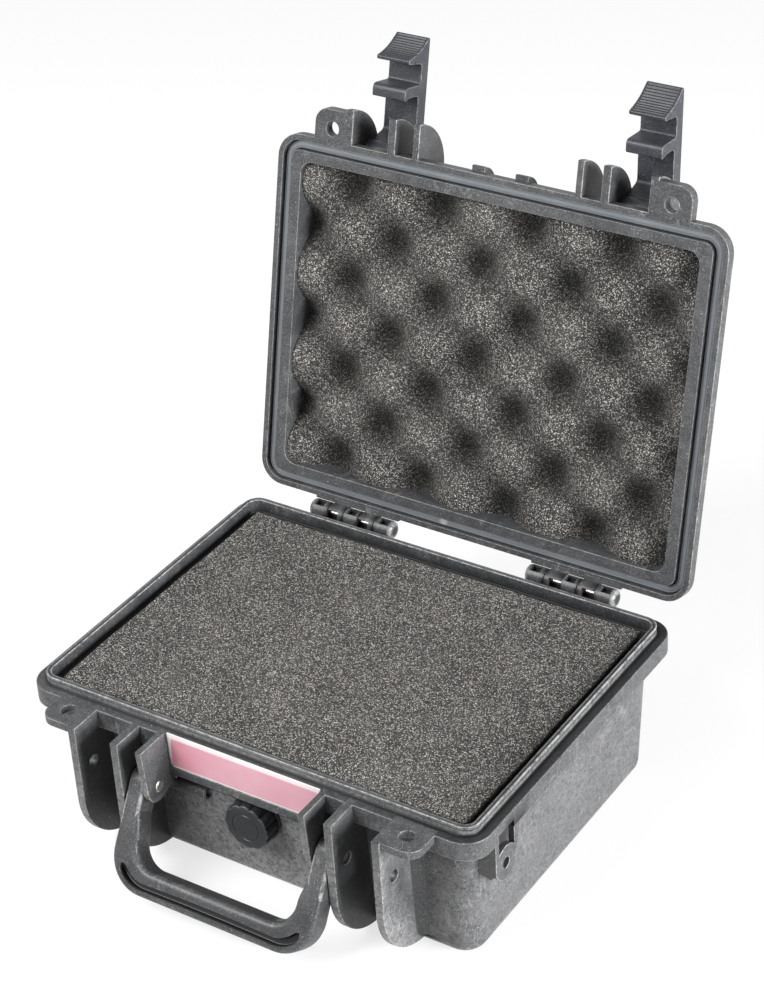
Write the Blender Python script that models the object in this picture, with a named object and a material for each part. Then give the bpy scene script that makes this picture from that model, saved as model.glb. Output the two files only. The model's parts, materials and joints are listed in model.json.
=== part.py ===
"""A small hard protector case, standing open.

The base and the lid are each one moulding, joined by two hinges with steel pins. Two latches
turn on the lid, a carry handle and a purge knob sit on the base's front, an egg-crate pad lines
the lid and a flat foam block fills the base.

Metres, +Z up, +X along the hinges and -Y towards the handle. The origin is the centre of the
base's underside. The lid and all that it carries are modelled closed, then turned open about
the hinge pins by their parent empty.
"""

import math

import bmesh
import bpy
from mathutils import Matrix

# Rim of the base, shared by the lid
RIM_HALF_X = 0.135
RIM_HALF_Y = 0.1012
RIM_CORNER = 0.014
RIM_TOP = 0.0843
RIM_DEPTH = 0.0108
RIM_PLATE = 0.0058
SKIRT = 0.003
EDGE_ROUND = 0.0008

# Drafted walls of the base
FOOT_HALF_X = 0.12016
FOOT_HALF_Y = 0.08636
WALL_DRAFT_SHARE = 0.0422
WALL_CORNER = 0.011
FOOT_ROUND = 0.006
WALL = 0.0032
FLOOR = 0.0035

# Sealing tongue on the base's rim and the ledge inside it
TONGUE_INSET = 0.0057
TONGUE_WIDTH = 0.00275
TONGUE_HEIGHT = 0.005
TONGUE_CORNER = 0.0085
LEDGE_DEPTH = 0.0028
TONGUE_LINE = 0.00035

# Lid, measured from its mating face up to its closed top
LID_GAP = 0.0026
LID_BAND = 0.0065
LID_HEIGHT = 0.0371
LID_HALF_X = 0.1233
LID_HALF_Y = 0.0903
LID_DRAFT = 0.0037
LID_CORNER = 0.012
LID_ROUND = 0.007
LID_OPENING_X = 0.1198
LID_OPENING_Y = 0.0870
LID_INNER_DRAFT = 0.0032
LID_DEPTH = 0.0337
LID_INNER_CORNER = 0.007
SHOULDER_HALF_X = 0.1312
SHOULDER_HALF_Y = 0.0974
SHOULDER_TOP = 0.0090
PANEL_HALF_X = 0.094
PANEL_HALF_Y = 0.062
PANEL_RISE = 0.0012

# Seal groove in the lid and the O-ring in it
GROOVE_INSET = 0.0033
GROOVE_WIDTH = 0.0053
GROOVE_DEPTH = 0.0053
SEAL_RECESS = 0.0027
SEAL_ROUND = 0.0006

# Hinges
HINGE_Y = 0.10725
HINGE_Z = 0.0846
LID_OPEN = math.radians(103.1)
KNUCKLE_RADIUS = 0.0056
KNUCKLE_ENDS = (0.0413, 0.0542, 0.0645, 0.0742, 0.0845, 0.0976)
KNUCKLE_GAP = 0.0003
KNUCKLE_ROUND = 0.0018
KNUCKLE_ARM = 0.0030
HINGE_PIN_RADIUS = 0.0016
HINGE_BORE_RADIUS = 0.0019
POCKET_LENGTH = 0.0062
POCKET_WIDTH = 0.0036

# Ribs on the front, as |x| of their two faces
OUTER_RIB = (0.0884, 0.0930)
MIDDLE_RIB = (0.0615, 0.0662)
INNER_RIB = (0.0468, 0.0506)
RIB_FRONT = -0.1195
RIB_SWEEP = 0.0375
RIB_FOOT = 0.0005
RIB_DROP = 0.0003
WEB_RADIUS = 0.009
EAR_RADIUS = 0.028
EAR_CENTRE_Y = -0.092
BUMP = (0.009, 0.017)
BUMP_RADIUS = 0.0130
BUMP_CENTRE_Y = -0.091

# Padlock lugs
LUG_X = 0.1012
LUG_Y = -0.1077
LUG_RADIUS = 0.0112
LUG_HOLE_RADIUS = 0.004
LUG_DEPTH = 0.0046
LUG_DROP = 0.0001

# Strap lugs on the sides
STRAP_PLATE = 0.0035
STRAP_FRONT = -0.0839
STRAP_REAR = -0.0615
STRAP_HOLE_Y = -0.0747
STRAP_HOLE_Z = 0.0573
STRAP_HOLE_RADIUS = 0.003
STRAP_RADIUS = 0.0092
STRAP_SLOT_REAR = -0.0665
STRAP_SLOT_FRONT = -0.0806
STRAP_SLOT_TOP = 0.0780
STRAP_SLOT_ARC = 0.0100

# Handle and its pins
PIN_Y = -0.1084
PIN_Z = 0.0569
PIN_RADIUS = 0.0031
PIN_BORE_RADIUS = 0.0034
PIN_LOBE = 0.0088
HANDLE_TILT = math.radians(30.0)
HANDLE_REACH = 0.0556
HANDLE_HALF = 0.0611
HANDLE_BAR = 0.0141
HANDLE_INNER_HALF = 0.0494
HANDLE_OUTER_CORNER = 0.020
HANDLE_INNER_CORNER = 0.011
HANDLE_FRONT = 0.0080
HANDLE_BACK = 0.0065
HANDLE_ROUND = 0.0042
HANDLE_TOP = 0.0190
SHOULDER_ROUND = 0.0052
TONGUE_FACES = (0.0511, 0.0609)
TONGUE_ROUND = 0.0072
TONGUE_EDGE = 0.0019
SLOT_INSET = 0.0060
SLOT_HALF = 0.0018
SLOT_DEPTH = 0.0042
SLOT_END_DEGREES = 25

# Latches, in their own frame: u runs away from the pivot, v towards the outer skin
LATCH_PIVOT_Y = -0.0965
LATCH_PIVOT_RISE = 0.0160
LATCH_FACES = (0.0670, 0.0877)
LATCH_LEFT_OPEN = math.radians(90.0)
LATCH_RIGHT_OPEN = math.radians(81.5)
LATCH_BARREL = 0.0058
LATCH_SKIN = 0.0215
LATCH_FLOOR = 0.0134
LATCH_UPPER_FLOOR = 0.0149
LATCH_TIP = 0.0612
LATCH_PAD_FOOT_U = 0.0501
LATCH_PAD_FOOT_V = 0.0030
LATCH_PAD_HOLLOW = 0.0016
LATCH_RISER = 0.0476
LATCH_HOOK_NEAR = 0.0302
LATCH_HOOK_FAR = 0.0366
LATCH_HOOK_TOP = 0.0002
LATCH_NECK = 0.0094
LATCH_FILLET = 0.0015
LATCH_PIN_RADIUS = 0.0020
LATCH_BORE_RADIUS = 0.0023
GRIP_GROOVES = 11
GRIP_GROOVE_WIDTH = 0.00085
GRIP_GROOVE_DEPTH = 0.0006
GRIP_MARGIN = 0.0016

# Nameplate and its panel between the inner ribs
PANEL_FRONT = -0.0990
PANEL_FOOT = 0.0580
PANEL_WALL = 0.0030
PLATE_HALF_X = 0.0449
PLATE_FOOT = 0.0636
PLATE_TOP = 0.0838
PLATE_THICKNESS = 0.0007
PLATE_CORNER = 0.0028
PLATE_RECESS = 0.0011
BOSS_RADIUS = 0.0038
BOSS_END_X = -0.0296
BOSS_Y = -0.0912
BOSS_Z = 0.0465

# Purge valve
VALVE_Z = 0.0435
KNOB_RADIUS = 0.0132
KNOB_FACE = -0.1015
KNOB_LENGTH = 0.0092
KNOB_FLUTES = 12
KNOB_FLUTE_DEPTH = 0.0006
KNOB_STEM_RADIUS = 0.0030
KNOB_STEM_LENGTH = 0.0085
KNOB_RING_RADIUS = 0.0082
KNOB_RING_DEPTH = 0.0004
BUSH_FLANGE_RADIUS = 0.0140
BUSH_FLANGE = 0.0014
BUSH_RADIUS = 0.0060
BUSH_BORE = 0.0034
BUSH_END = -0.0785
GASKET = 0.0007
NUT_ACROSS = 0.0085
NUT_DEPTH = 0.0036
RING_MAJOR = 0.0046
RING_MINOR = 0.0007

# Foam
FOAM_TOP = 0.0853
FOAM_GAP = 0.0005
FOAM_PAD = 0.0120
FOAM_CORNER = 0.009
FOAM_TOP_CORNER = 0.002
FOAM_SLAB = 0.0031
EGG_PITCH_X = 0.0537
EGG_PITCH_Y = 0.0520
EGG_PIT_X = -0.0090
EGG_PIT_Y = 0.0015
EGG_PEAK = 0.0018
EGG_PIT = 0.0145
EGG_SHARPNESS_SHARE = 1.6
EGG_CELLS_X = 36
EGG_CELLS_Y = 26

# Shared small values
CLEAR = 0.0003
OVERRUN = 0.002
SINK = 0.0015
WELD = 0.00001
SMOOTH_ANGLE = math.radians(32)
FOAM_SMOOTH_ANGLE = math.radians(58)
ROUND_STEPS = 24

COLOURS = {
    "case_plastic": ((0.050, 0.053, 0.057), 0.50, 0.0),
    "latch_plastic": ((0.046, 0.048, 0.052), 0.48, 0.0),
    "seal_rubber": ((0.085, 0.100, 0.115), 0.42, 0.0),
    "foam": ((0.055, 0.055, 0.056), 0.95, 0.0),
    "pin_steel": ((0.60, 0.58, 0.54), 0.30, 1.0),
    "knob_plastic": ((0.020, 0.021, 0.023), 0.42, 0.0),
    "plate": ((0.78, 0.36, 0.42), 0.45, 0.0),
}

# Turns an outline drawn in (y, z) so that its thickness runs along X
SIDE_VIEW = Matrix(((0, 0, 1, 0), (1, 0, 0, 0), (0, 1, 0, 0), (0, 0, 0, 1)))
# Turns an outline drawn in (x, z) so that its thickness runs along Y
FRONT_VIEW = Matrix(((1, 0, 0, 0), (0, 0, -1, 0), (0, 1, 0, 0), (0, 0, 0, 1)))
TOP_VIEW = Matrix.Identity(4)


def new_collection(name):
    """A collection linked to the scene."""
    collection = bpy.data.collections.new(name)
    bpy.context.scene.collection.children.link(collection)
    return collection


def new_material(name):
    """A Principled material from the colour table."""
    colour, roughness, metallic = COLOURS[name]
    material = bpy.data.materials.new(name)
    material.use_nodes = True
    shader = material.node_tree.nodes["Principled BSDF"]
    shader.inputs["Base Color"].default_value = (*colour, 1)
    shader.inputs["Roughness"].default_value = roughness
    shader.inputs["Metallic"].default_value = metallic
    material.diffuse_color = (*colour, 1)
    return material


def smoothing_group():
    """Geometry nodes that smooth a mesh and keep its edges sharp past a given angle."""
    group = bpy.data.node_groups.new("smooth_by_angle", "GeometryNodeTree")
    group.interface.new_socket("Geometry", in_out="INPUT", socket_type="NodeSocketGeometry")
    group.interface.new_socket("Angle", in_out="INPUT", socket_type="NodeSocketFloat")
    group.interface.new_socket("Geometry", in_out="OUTPUT", socket_type="NodeSocketGeometry")
    start = group.nodes.new("NodeGroupInput")
    end = group.nodes.new("NodeGroupOutput")
    bend = group.nodes.new("GeometryNodeInputMeshEdgeAngle")
    gentle = group.nodes.new("FunctionNodeCompare")
    gentle.operation = "LESS_EQUAL"
    by_face = group.nodes.new("GeometryNodeSetShadeSmooth")
    by_edge = group.nodes.new("GeometryNodeSetShadeSmooth")
    by_edge.domain = "EDGE"
    group.links.new(bend.outputs["Unsigned Angle"], gentle.inputs[0])
    group.links.new(start.outputs["Angle"], gentle.inputs[1])
    group.links.new(start.outputs["Geometry"], by_face.inputs["Geometry"])
    group.links.new(by_face.outputs["Geometry"], by_edge.inputs["Geometry"])
    group.links.new(gentle.outputs["Result"], by_edge.inputs["Shade Smooth"])
    group.links.new(by_edge.outputs["Geometry"], end.inputs["Geometry"])
    return group


class Shop:
    """The scene's collections, materials and empties, and the ways that pieces enter them."""

    def __init__(self):
        self.smoothing = smoothing_group()
        self.parts = new_collection("hard_case")
        self.tools = new_collection("cutters")
        self.guides = new_collection("guides")
        self.materials = {name: new_material(name) for name in COLOURS}

    def part(self, name, mesh, material, parent=None):
        """A visible piece; its mesh is in its parent's frame."""
        mesh.materials.clear()
        mesh.materials.append(self.materials[material])
        piece = bpy.data.objects.new(name, mesh)
        piece.parent = parent
        self.parts.objects.link(piece)
        return piece

    def empty(self, name, location, tilt=0, parent=None):
        """A joint's empty, turned about X."""
        guide = bpy.data.objects.new(name, None)
        guide.location = location
        guide.rotation_euler = (tilt, 0, 0)
        guide.parent = parent
        self.guides.objects.link(guide)
        return guide

    def combine(self, target, operation, meshes):
        """Adds or cuts a list of meshes with one Boolean, in the target's own frame."""
        label = f"{target.name}_{operation.lower()}_{len(target.modifiers)}"
        group = bpy.data.collections.new(label)
        self.tools.children.link(group)
        for number, mesh in enumerate(meshes):
            tool = bpy.data.objects.new(f"{label}_{number}", mesh)
            tool.parent = target.parent
            tool.hide_render = True
            tool.display_type = "WIRE"
            group.objects.link(tool)
        modifier = target.modifiers.new(label, "BOOLEAN")
        modifier.operation = operation
        modifier.operand_type = "COLLECTION"
        modifier.collection = group
        modifier.solver = "EXACT"

    def smooth(self):
        """Closes every part's modifiers with the smoothing by angle."""
        for piece in self.parts.objects:
            modifier = piece.modifiers.new("smooth_by_angle", "NODES")
            modifier.node_group = self.smoothing
            socket = self.smoothing.interface.items_tree["Angle"].identifier
            foam = piece.data.materials[0] is self.materials["foam"]
            modifier[socket] = FOAM_SMOOTH_ANGLE if foam else SMOOTH_ANGLE

    def join(self, target, meshes):
        self.combine(target, "UNION", meshes)

    def cut(self, target, meshes):
        self.combine(target, "DIFFERENCE", meshes)


def to_mesh(bm, name):
    """Closes a bmesh into a mesh whose faces point out."""
    bmesh.ops.recalc_face_normals(bm, faces=bm.faces)
    if bm.calc_volume(signed=True) < 0:
        bmesh.ops.reverse_faces(bm, faces=bm.faces)
    mesh = bpy.data.meshes.new(name)
    bm.to_mesh(mesh)
    bm.free()
    mesh.shade_smooth()
    return mesh


def drafted_box(low_half, high_half, low, high, corner, foot=0, brow=0, steps=6):
    """A box with rounded corners between two levels, drafted, with optional round edges."""
    bm = bmesh.new()
    bmesh.ops.create_cube(bm, size=2)
    for vert in bm.verts:
        half = low_half if vert.co.z < 0 else high_half
        level = low if vert.co.z < 0 else high
        vert.co = (vert.co.x * half[0], vert.co.y * half[1], level)
    upright = [e for e in bm.edges if e.verts[0].co.z != e.verts[1].co.z]
    bmesh.ops.bevel(bm, geom=upright, offset=corner, segments=steps, profile=0.5,
                    affect="EDGES", clamp_overlap=True)
    for width, level in ((foot, low), (brow, high)):
        if width:
            loop = [e for e in bm.edges if all(abs(v.co.z - level) < WELD for v in e.verts)]
            bmesh.ops.bevel(bm, geom=loop, offset=width, segments=3 if width > CLEAR * 4 else 1,
                            profile=0.5, affect="EDGES", clamp_overlap=True)
    return to_mesh(bm, "rounded_box")


def box(low, high):
    """A plain box between two corners."""
    bm = bmesh.new()
    bmesh.ops.create_cube(bm, size=1)
    for vert in bm.verts:
        vert.co = [low[i] if vert.co[i] < 0 else high[i] for i in range(3)]
    return to_mesh(bm, "box")


def rod(axis, start, end, centre, radius, steps=ROUND_STEPS, tip=0):
    """A cylinder along X or Y between two values; centre is its other two coordinates."""
    bm = bmesh.new()
    bmesh.ops.create_cone(bm, cap_ends=True, segments=steps, radius1=radius, radius2=radius,
                          depth=abs(end - start))
    if tip:
        rims = [e for e in bm.edges if e.verts[0].co.z == e.verts[1].co.z]
        bmesh.ops.bevel(bm, geom=rims, offset=tip, segments=2, profile=0.5, affect="EDGES")
    middle = (start + end) / 2
    if axis == "X":
        place = Matrix.Translation((middle, *centre)) @ Matrix.Rotation(math.pi / 2, 4, "Y")
    elif axis == "Y":
        place = Matrix.Translation((centre[0], middle, centre[1]))
        place = place @ Matrix.Rotation(math.pi / 2, 4, "X")
    else:
        place = Matrix.Translation((*centre, middle))
    bm.transform(place)
    return to_mesh(bm, "rod")


def outline(loops, start, end, view, rounding=0, resolution=2):
    """A flat outline, with any holes, thickened between two values across the view."""
    curve = bpy.data.curves.new("outline", "CURVE")
    curve.dimensions = "2D"
    curve.fill_mode = "BOTH"
    curve.extrude = abs(end - start) / 2 - rounding
    curve.bevel_depth = rounding
    curve.bevel_resolution = resolution
    curve.offset = -rounding
    for points in loops:
        spline = curve.splines.new("POLY")
        spline.points.add(len(points) - 1)
        for point, place in zip(spline.points, points):
            point.co = (place[0], place[1], 0, 1)
        spline.use_cyclic_u = True
    holder = bpy.data.objects.new("outline", curve)
    bpy.context.scene.collection.objects.link(holder)
    bpy.context.view_layer.update()
    evaluated = holder.evaluated_get(bpy.context.evaluated_depsgraph_get())
    raw = bpy.data.meshes.new_from_object(evaluated)
    bm = bmesh.new()
    bm.from_mesh(raw)
    bmesh.ops.remove_doubles(bm, verts=bm.verts, dist=WELD)
    middle = (start + end) / 2
    across = -middle if view is FRONT_VIEW else middle
    bm.transform(view @ Matrix.Translation((0, 0, across)))
    bpy.data.objects.remove(holder)
    bpy.data.curves.remove(curve)
    bpy.data.meshes.remove(raw)
    return to_mesh(bm, "outline")


def arc(centre, radius, first, last, steps):
    """Points on a circle from one angle to another, in degrees."""
    points = []
    for step in range(steps + 1):
        angle = math.radians(first + (last - first) * step / steps)
        points.append((centre[0] + radius * math.cos(angle), centre[1] + radius * math.sin(angle)))
    return points


def rounded_outline(half_x, half_y, corner, steps=5):
    """A rectangle with round corners, as points."""
    points = []
    for turn, (side_x, side_y) in enumerate(((1, 1), (-1, 1), (-1, -1), (1, -1))):
        centre = (side_x * (half_x - corner), side_y * (half_y - corner))
        points += arc(centre, corner, 90 * turn, 90 * turn + 90, steps)
    return points


def faces(pair, side):
    """The two x values of a piece between two |x| faces, low one first."""
    return (pair[0], pair[1]) if side > 0 else (-pair[1], -pair[0])


def wall_y(height):
    """The y of the base's outer front wall at a height."""
    return -(FOOT_HALF_Y + WALL_DRAFT_SHARE * height)


def long_rib(side, pair):
    """A rib from the rim to the base's foot: straight front edge, then a quarter sweep."""
    top = RIM_TOP - RIB_DROP
    inner = wall_y(0) + WALL * 0.5
    points = [(inner, top), (RIB_FRONT, top)]
    centre = (RIB_FRONT + RIB_SWEEP, RIB_FOOT + RIB_SWEEP)
    points += arc(centre, RIB_SWEEP, 180, 268, 8)
    points += [(inner + WALL, RIB_FOOT + FOOT_ROUND)]
    return outline([points], *faces(pair, side), SIDE_VIEW)


def short_rib(side):
    """The inner rib: ends in a lobe round the handle's pin."""
    top = RIM_TOP - RIB_DROP
    inner = wall_y(0) + WALL * 0.5
    points = [(inner, top), (RIB_FRONT, top)]
    points += arc((PIN_Y, PIN_Z), PIN_LOBE, 182, 300, 7)
    points += [(inner, PANEL_FOOT - PANEL_WALL)]
    return outline([points], *faces(INNER_RIB, side), SIDE_VIEW)


def rib_web(side):
    """The hollow fillet between an outer rib and the wall: sections that shrink to the wall."""
    bm = bmesh.new()
    steps = 5
    previous = None
    for step in range(steps + 1):
        angle = math.radians(90 * step / steps)
        reach = WEB_RADIUS * (1 - math.sin(angle)) + CLEAR
        x = side * (OUTER_RIB[1] - SINK + (WEB_RADIUS + SINK) * (1 - math.cos(angle)))
        front = wall_y(PIN_Z) - reach
        sweep = RIB_SWEEP - (front - RIB_FRONT)
        low = RIB_FOOT + RIB_SWEEP - math.sqrt(RIB_SWEEP ** 2 - sweep ** 2) + SINK
        high = RIM_TOP - RIM_PLATE + SINK
        back = wall_y(0) + SINK
        ring = [bm.verts.new((x, back, high)), bm.verts.new((x, wall_y(high) - reach, high)),
                bm.verts.new((x, wall_y(low) - reach, low + reach)),
                bm.verts.new((x, wall_y(low) - reach * 0.4, low)), bm.verts.new((x, back, low))]
        if previous:
            for index in range(len(ring)):
                other = (index + 1) % len(ring)
                bm.faces.new((previous[index], previous[other], ring[other], ring[index]))
        else:
            bm.faces.new(ring)
        previous = ring
    bm.faces.new(previous)
    return to_mesh(bm, "rib_web")


def lug(side, low, high):
    """A padlock lug: a tongue with a round end, standing out of a rim."""
    points = arc((side * LUG_X, LUG_Y), LUG_RADIUS, 180, 360, 12)
    root = -RIM_HALF_Y + RIM_CORNER
    points += [(side * LUG_X + LUG_RADIUS, root), (side * LUG_X - LUG_RADIUS, root)]
    return outline([points], low, high, TOP_VIEW)


def lug_hole(side, low, high):
    return rod("Z", low - OVERRUN, high + OVERRUN, (side * LUG_X, LUG_Y), LUG_HOLE_RADIUS)


def strap_lug(side):
    """The plate of a strap lug: straight front edge, round foot, blended into the rim."""
    top = RIM_TOP - RIM_PLATE + SINK
    points = [(STRAP_REAR, top), (STRAP_FRONT, top), (STRAP_FRONT, STRAP_HOLE_Z - SKIRT)]
    points += arc((STRAP_HOLE_Y, STRAP_HOLE_Z), STRAP_RADIUS, 222, 352, 8)
    points += [(STRAP_REAR, RIM_TOP - RIM_DEPTH - SKIRT)]
    outer = RIM_HALF_X - LUG_DROP
    return outline([points], *faces((outer - STRAP_PLATE, outer), side), SIDE_VIEW)


def strap_web(side):
    """The web that closes a strap lug towards the front."""
    top = RIM_TOP - RIM_PLATE + SINK
    root = FOOT_HALF_X + SINK
    outer = RIM_HALF_X - LUG_DROP - CLEAR
    foot = STRAP_HOLE_Z - SKIRT
    points = [(root, top), (outer, top), (outer, foot), (outer - STRAP_PLATE, foot - SKIRT),
              (root + SKIRT, foot + CLEAR), (root, foot + SKIRT * 2)]
    points = [(side * x, z) for x, z in points]
    return outline([points], STRAP_FRONT + LUG_DROP, STRAP_FRONT + SKIRT, FRONT_VIEW)


def strap_slot(side):
    """The slot of a strap lug: square above, with an arch below round the small hole."""
    points = [(STRAP_SLOT_REAR, STRAP_SLOT_TOP), (STRAP_SLOT_FRONT, STRAP_SLOT_TOP)]
    for share in range(7):
        y = STRAP_SLOT_FRONT + (STRAP_SLOT_REAR - STRAP_SLOT_FRONT) * share / 6
        rise = math.sqrt(STRAP_SLOT_ARC ** 2 - (y - STRAP_HOLE_Y) ** 2)
        points.append((y, STRAP_HOLE_Z + rise))
    near = RIM_HALF_X - STRAP_PLATE - OVERRUN
    return outline([points], *faces((near, RIM_HALF_X + OVERRUN), side), SIDE_VIEW)


def knuckle(side, index, end_round):
    """One hinge knuckle with its arm; the arm joins the base's rim or the lid's band."""
    start = KNUCKLE_ENDS[index] + (KNUCKLE_GAP / 2 if index else 0)
    end = KNUCKLE_ENDS[index + 1] - (KNUCKLE_GAP / 2 if index < 4 else 0)
    low, high = faces((start, end), side)
    barrel = rod("X", low, high, (HINGE_Y, HINGE_Z), KNUCKLE_RADIUS, 18,
                 tip=KNUCKLE_ROUND if end_round else 0)
    inset = KNUCKLE_ROUND if end_round else CLEAR / 3
    root = RIM_HALF_Y - SKIRT / 2
    if index % 2:
        level = HINGE_Z + KNUCKLE_RADIUS - CLEAR
        arm = box((low + inset, root, level - KNUCKLE_ARM), (high - inset, HINGE_Y, level))
    else:
        level = HINGE_Z - KNUCKLE_RADIUS + CLEAR
        arm = box((low + inset, root, level), (high - inset, HINGE_Y, level + KNUCKLE_ARM))
    return [barrel, arm]


def knuckle_pocket(side, index):
    """The window that shows the pin: on top of a base knuckle, behind a lid knuckle."""
    middle = side * (KNUCKLE_ENDS[index] + KNUCKLE_ENDS[index + 1]) / 2
    half = POCKET_LENGTH / 2
    wide = POCKET_WIDTH / 2
    reach = KNUCKLE_RADIUS + OVERRUN
    if index % 2:
        return box((middle - half, HINGE_Y, HINGE_Z - wide),
                   (middle + half, HINGE_Y + reach, HINGE_Z + wide))
    return box((middle - half, HINGE_Y - wide, HINGE_Z),
               (middle + half, HINGE_Y + wide, HINGE_Z + reach))


def hinge_bore(side):
    low, high = faces((KNUCKLE_ENDS[0] - OVERRUN, KNUCKLE_ENDS[-1] + OVERRUN), side)
    return rod("X", low, high, (HINGE_Y, HINGE_Z), HINGE_BORE_RADIUS, 12)


def base_shell(shop):
    """The lower moulding."""
    rim = (RIM_HALF_X, RIM_HALF_Y)
    shell = shop.part("base_shell", drafted_box(rim, rim, RIM_TOP - RIM_DEPTH, RIM_TOP,
                                                RIM_CORNER, brow=EDGE_ROUND), "case_plastic")
    inner = (RIM_HALF_X - SKIRT, RIM_HALF_Y - SKIRT)
    channel_top = RIM_TOP - RIM_PLATE
    channel = drafted_box(inner, inner, RIM_TOP - RIM_DEPTH - OVERRUN, channel_top,
                          RIM_CORNER - SKIRT)
    panel_bay = box((-INNER_RIB[0], -RIM_HALF_Y - OVERRUN, RIM_TOP - RIM_DEPTH - OVERRUN),
                    (INNER_RIB[0], PANEL_FRONT, RIM_TOP + OVERRUN))
    shop.cut(shell, [channel, panel_bay])

    draft = WALL_DRAFT_SHARE * (channel_top + SINK)
    foot = (FOOT_HALF_X, FOOT_HALF_Y)
    brow = (FOOT_HALF_X + draft, FOOT_HALF_Y + draft)
    additions = [drafted_box(foot, brow, 0, channel_top + SINK, WALL_CORNER, foot=FOOT_ROUND)]
    tongue = (RIM_HALF_X - TONGUE_INSET, RIM_HALF_Y - TONGUE_INSET)
    additions.append(drafted_box(tongue, tongue, RIM_TOP - SINK, RIM_TOP + TONGUE_HEIGHT,
                                 TONGUE_CORNER, brow=EDGE_ROUND / 2))
    additions.append(box((-INNER_RIB[0] - CLEAR, PANEL_FRONT, PANEL_FOOT),
                         (INNER_RIB[0] + CLEAR, wall_y(0) + SINK, RIM_TOP - RIB_DROP)))
    additions.append(rod("X", -INNER_RIB[0] - SINK, BOSS_END_X, (BOSS_Y, BOSS_Z), BOSS_RADIUS, 16))
    for side in (-1, 1):
        additions += [long_rib(side, OUTER_RIB), long_rib(side, MIDDLE_RIB), short_rib(side)]
        additions += [rib_web(side), lug(side, RIM_TOP - LUG_DEPTH, RIM_TOP - LUG_DROP)]
        additions += [strap_lug(side), strap_web(side)]
        for index in (0, 2, 4):
            additions += knuckle(side, index, index != 2)
    shop.join(shell, additions)

    inside_low = (FOOT_HALF_X - WALL, FOOT_HALF_Y - WALL)
    inside_high = (brow[0] - WALL, brow[1] - WALL)
    ledge = (tongue[0] - TONGUE_WIDTH, tongue[1] - TONGUE_WIDTH)
    ledge_level = RIM_TOP - LEDGE_DEPTH
    cuts = [drafted_box(inside_low, inside_high, FLOOR, ledge_level + SINK, WALL_CORNER - WALL,
                        foot=FOOT_ROUND / 2),
            drafted_box(ledge, ledge, ledge_level, RIM_TOP + TONGUE_HEIGHT + OVERRUN,
                        TONGUE_CORNER - TONGUE_WIDTH)]
    cuts.append(box((-INNER_RIB[0] + PANEL_WALL, PANEL_FRONT + PANEL_WALL, PANEL_FOOT - OVERRUN),
                    (INNER_RIB[0] - PANEL_WALL, wall_y(PANEL_FOOT) - SINK, channel_top - CLEAR)))
    recess = rounded_outline(PLATE_HALF_X + CLEAR, (PLATE_TOP - PLATE_FOOT) / 2 + CLEAR,
                             PLATE_CORNER)
    middle = (PLATE_TOP + PLATE_FOOT) / 2
    cuts.append(outline([[(x, z + middle) for x, z in recess]], PANEL_FRONT - OVERRUN,
                        PANEL_FRONT + PLATE_RECESS, FRONT_VIEW))
    cuts.append(rod("X", BOSS_END_X - FOOT_ROUND, BOSS_END_X + OVERRUN, (BOSS_Y, BOSS_Z),
                    BOSS_RADIUS / 2, 12))
    cuts.append(rod("Y", wall_y(VALVE_Z) - OVERRUN, wall_y(VALVE_Z) + WALL + OVERRUN,
                    (0, VALVE_Z), BUSH_RADIUS + CLEAR))
    for side in (-1, 1):
        for pair in (INNER_RIB, MIDDLE_RIB, OUTER_RIB):
            low, high = faces((pair[0] - CLEAR, pair[1] + OVERRUN), side)
            cuts.append(rod("X", low, high, (PIN_Y, PIN_Z), PIN_BORE_RADIUS, 16))
        cuts.append(lug_hole(side, RIM_TOP - LUG_DEPTH, RIM_TOP))
        cuts.append(strap_slot(side))
        near = RIM_HALF_X - STRAP_PLATE - OVERRUN
        low, high = faces((near, RIM_HALF_X + OVERRUN), side)
        cuts.append(rod("X", low, high, (STRAP_HOLE_Y, STRAP_HOLE_Z), STRAP_HOLE_RADIUS, 14))
        cuts.append(hinge_bore(side))
        cuts += [knuckle_pocket(side, index) for index in (0, 2, 4)]
    shop.cut(shell, cuts)
    return shell


def quarter_ear(side, pair, radius, centre_y, level, root):
    """A quarter-round plate on the lid, flush with its rim."""
    points = arc((centre_y, level), radius, 180, 90, 8)
    points += [(root, level + radius), (root, level)]
    return outline([points], *faces(pair, side), SIDE_VIEW)


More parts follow.
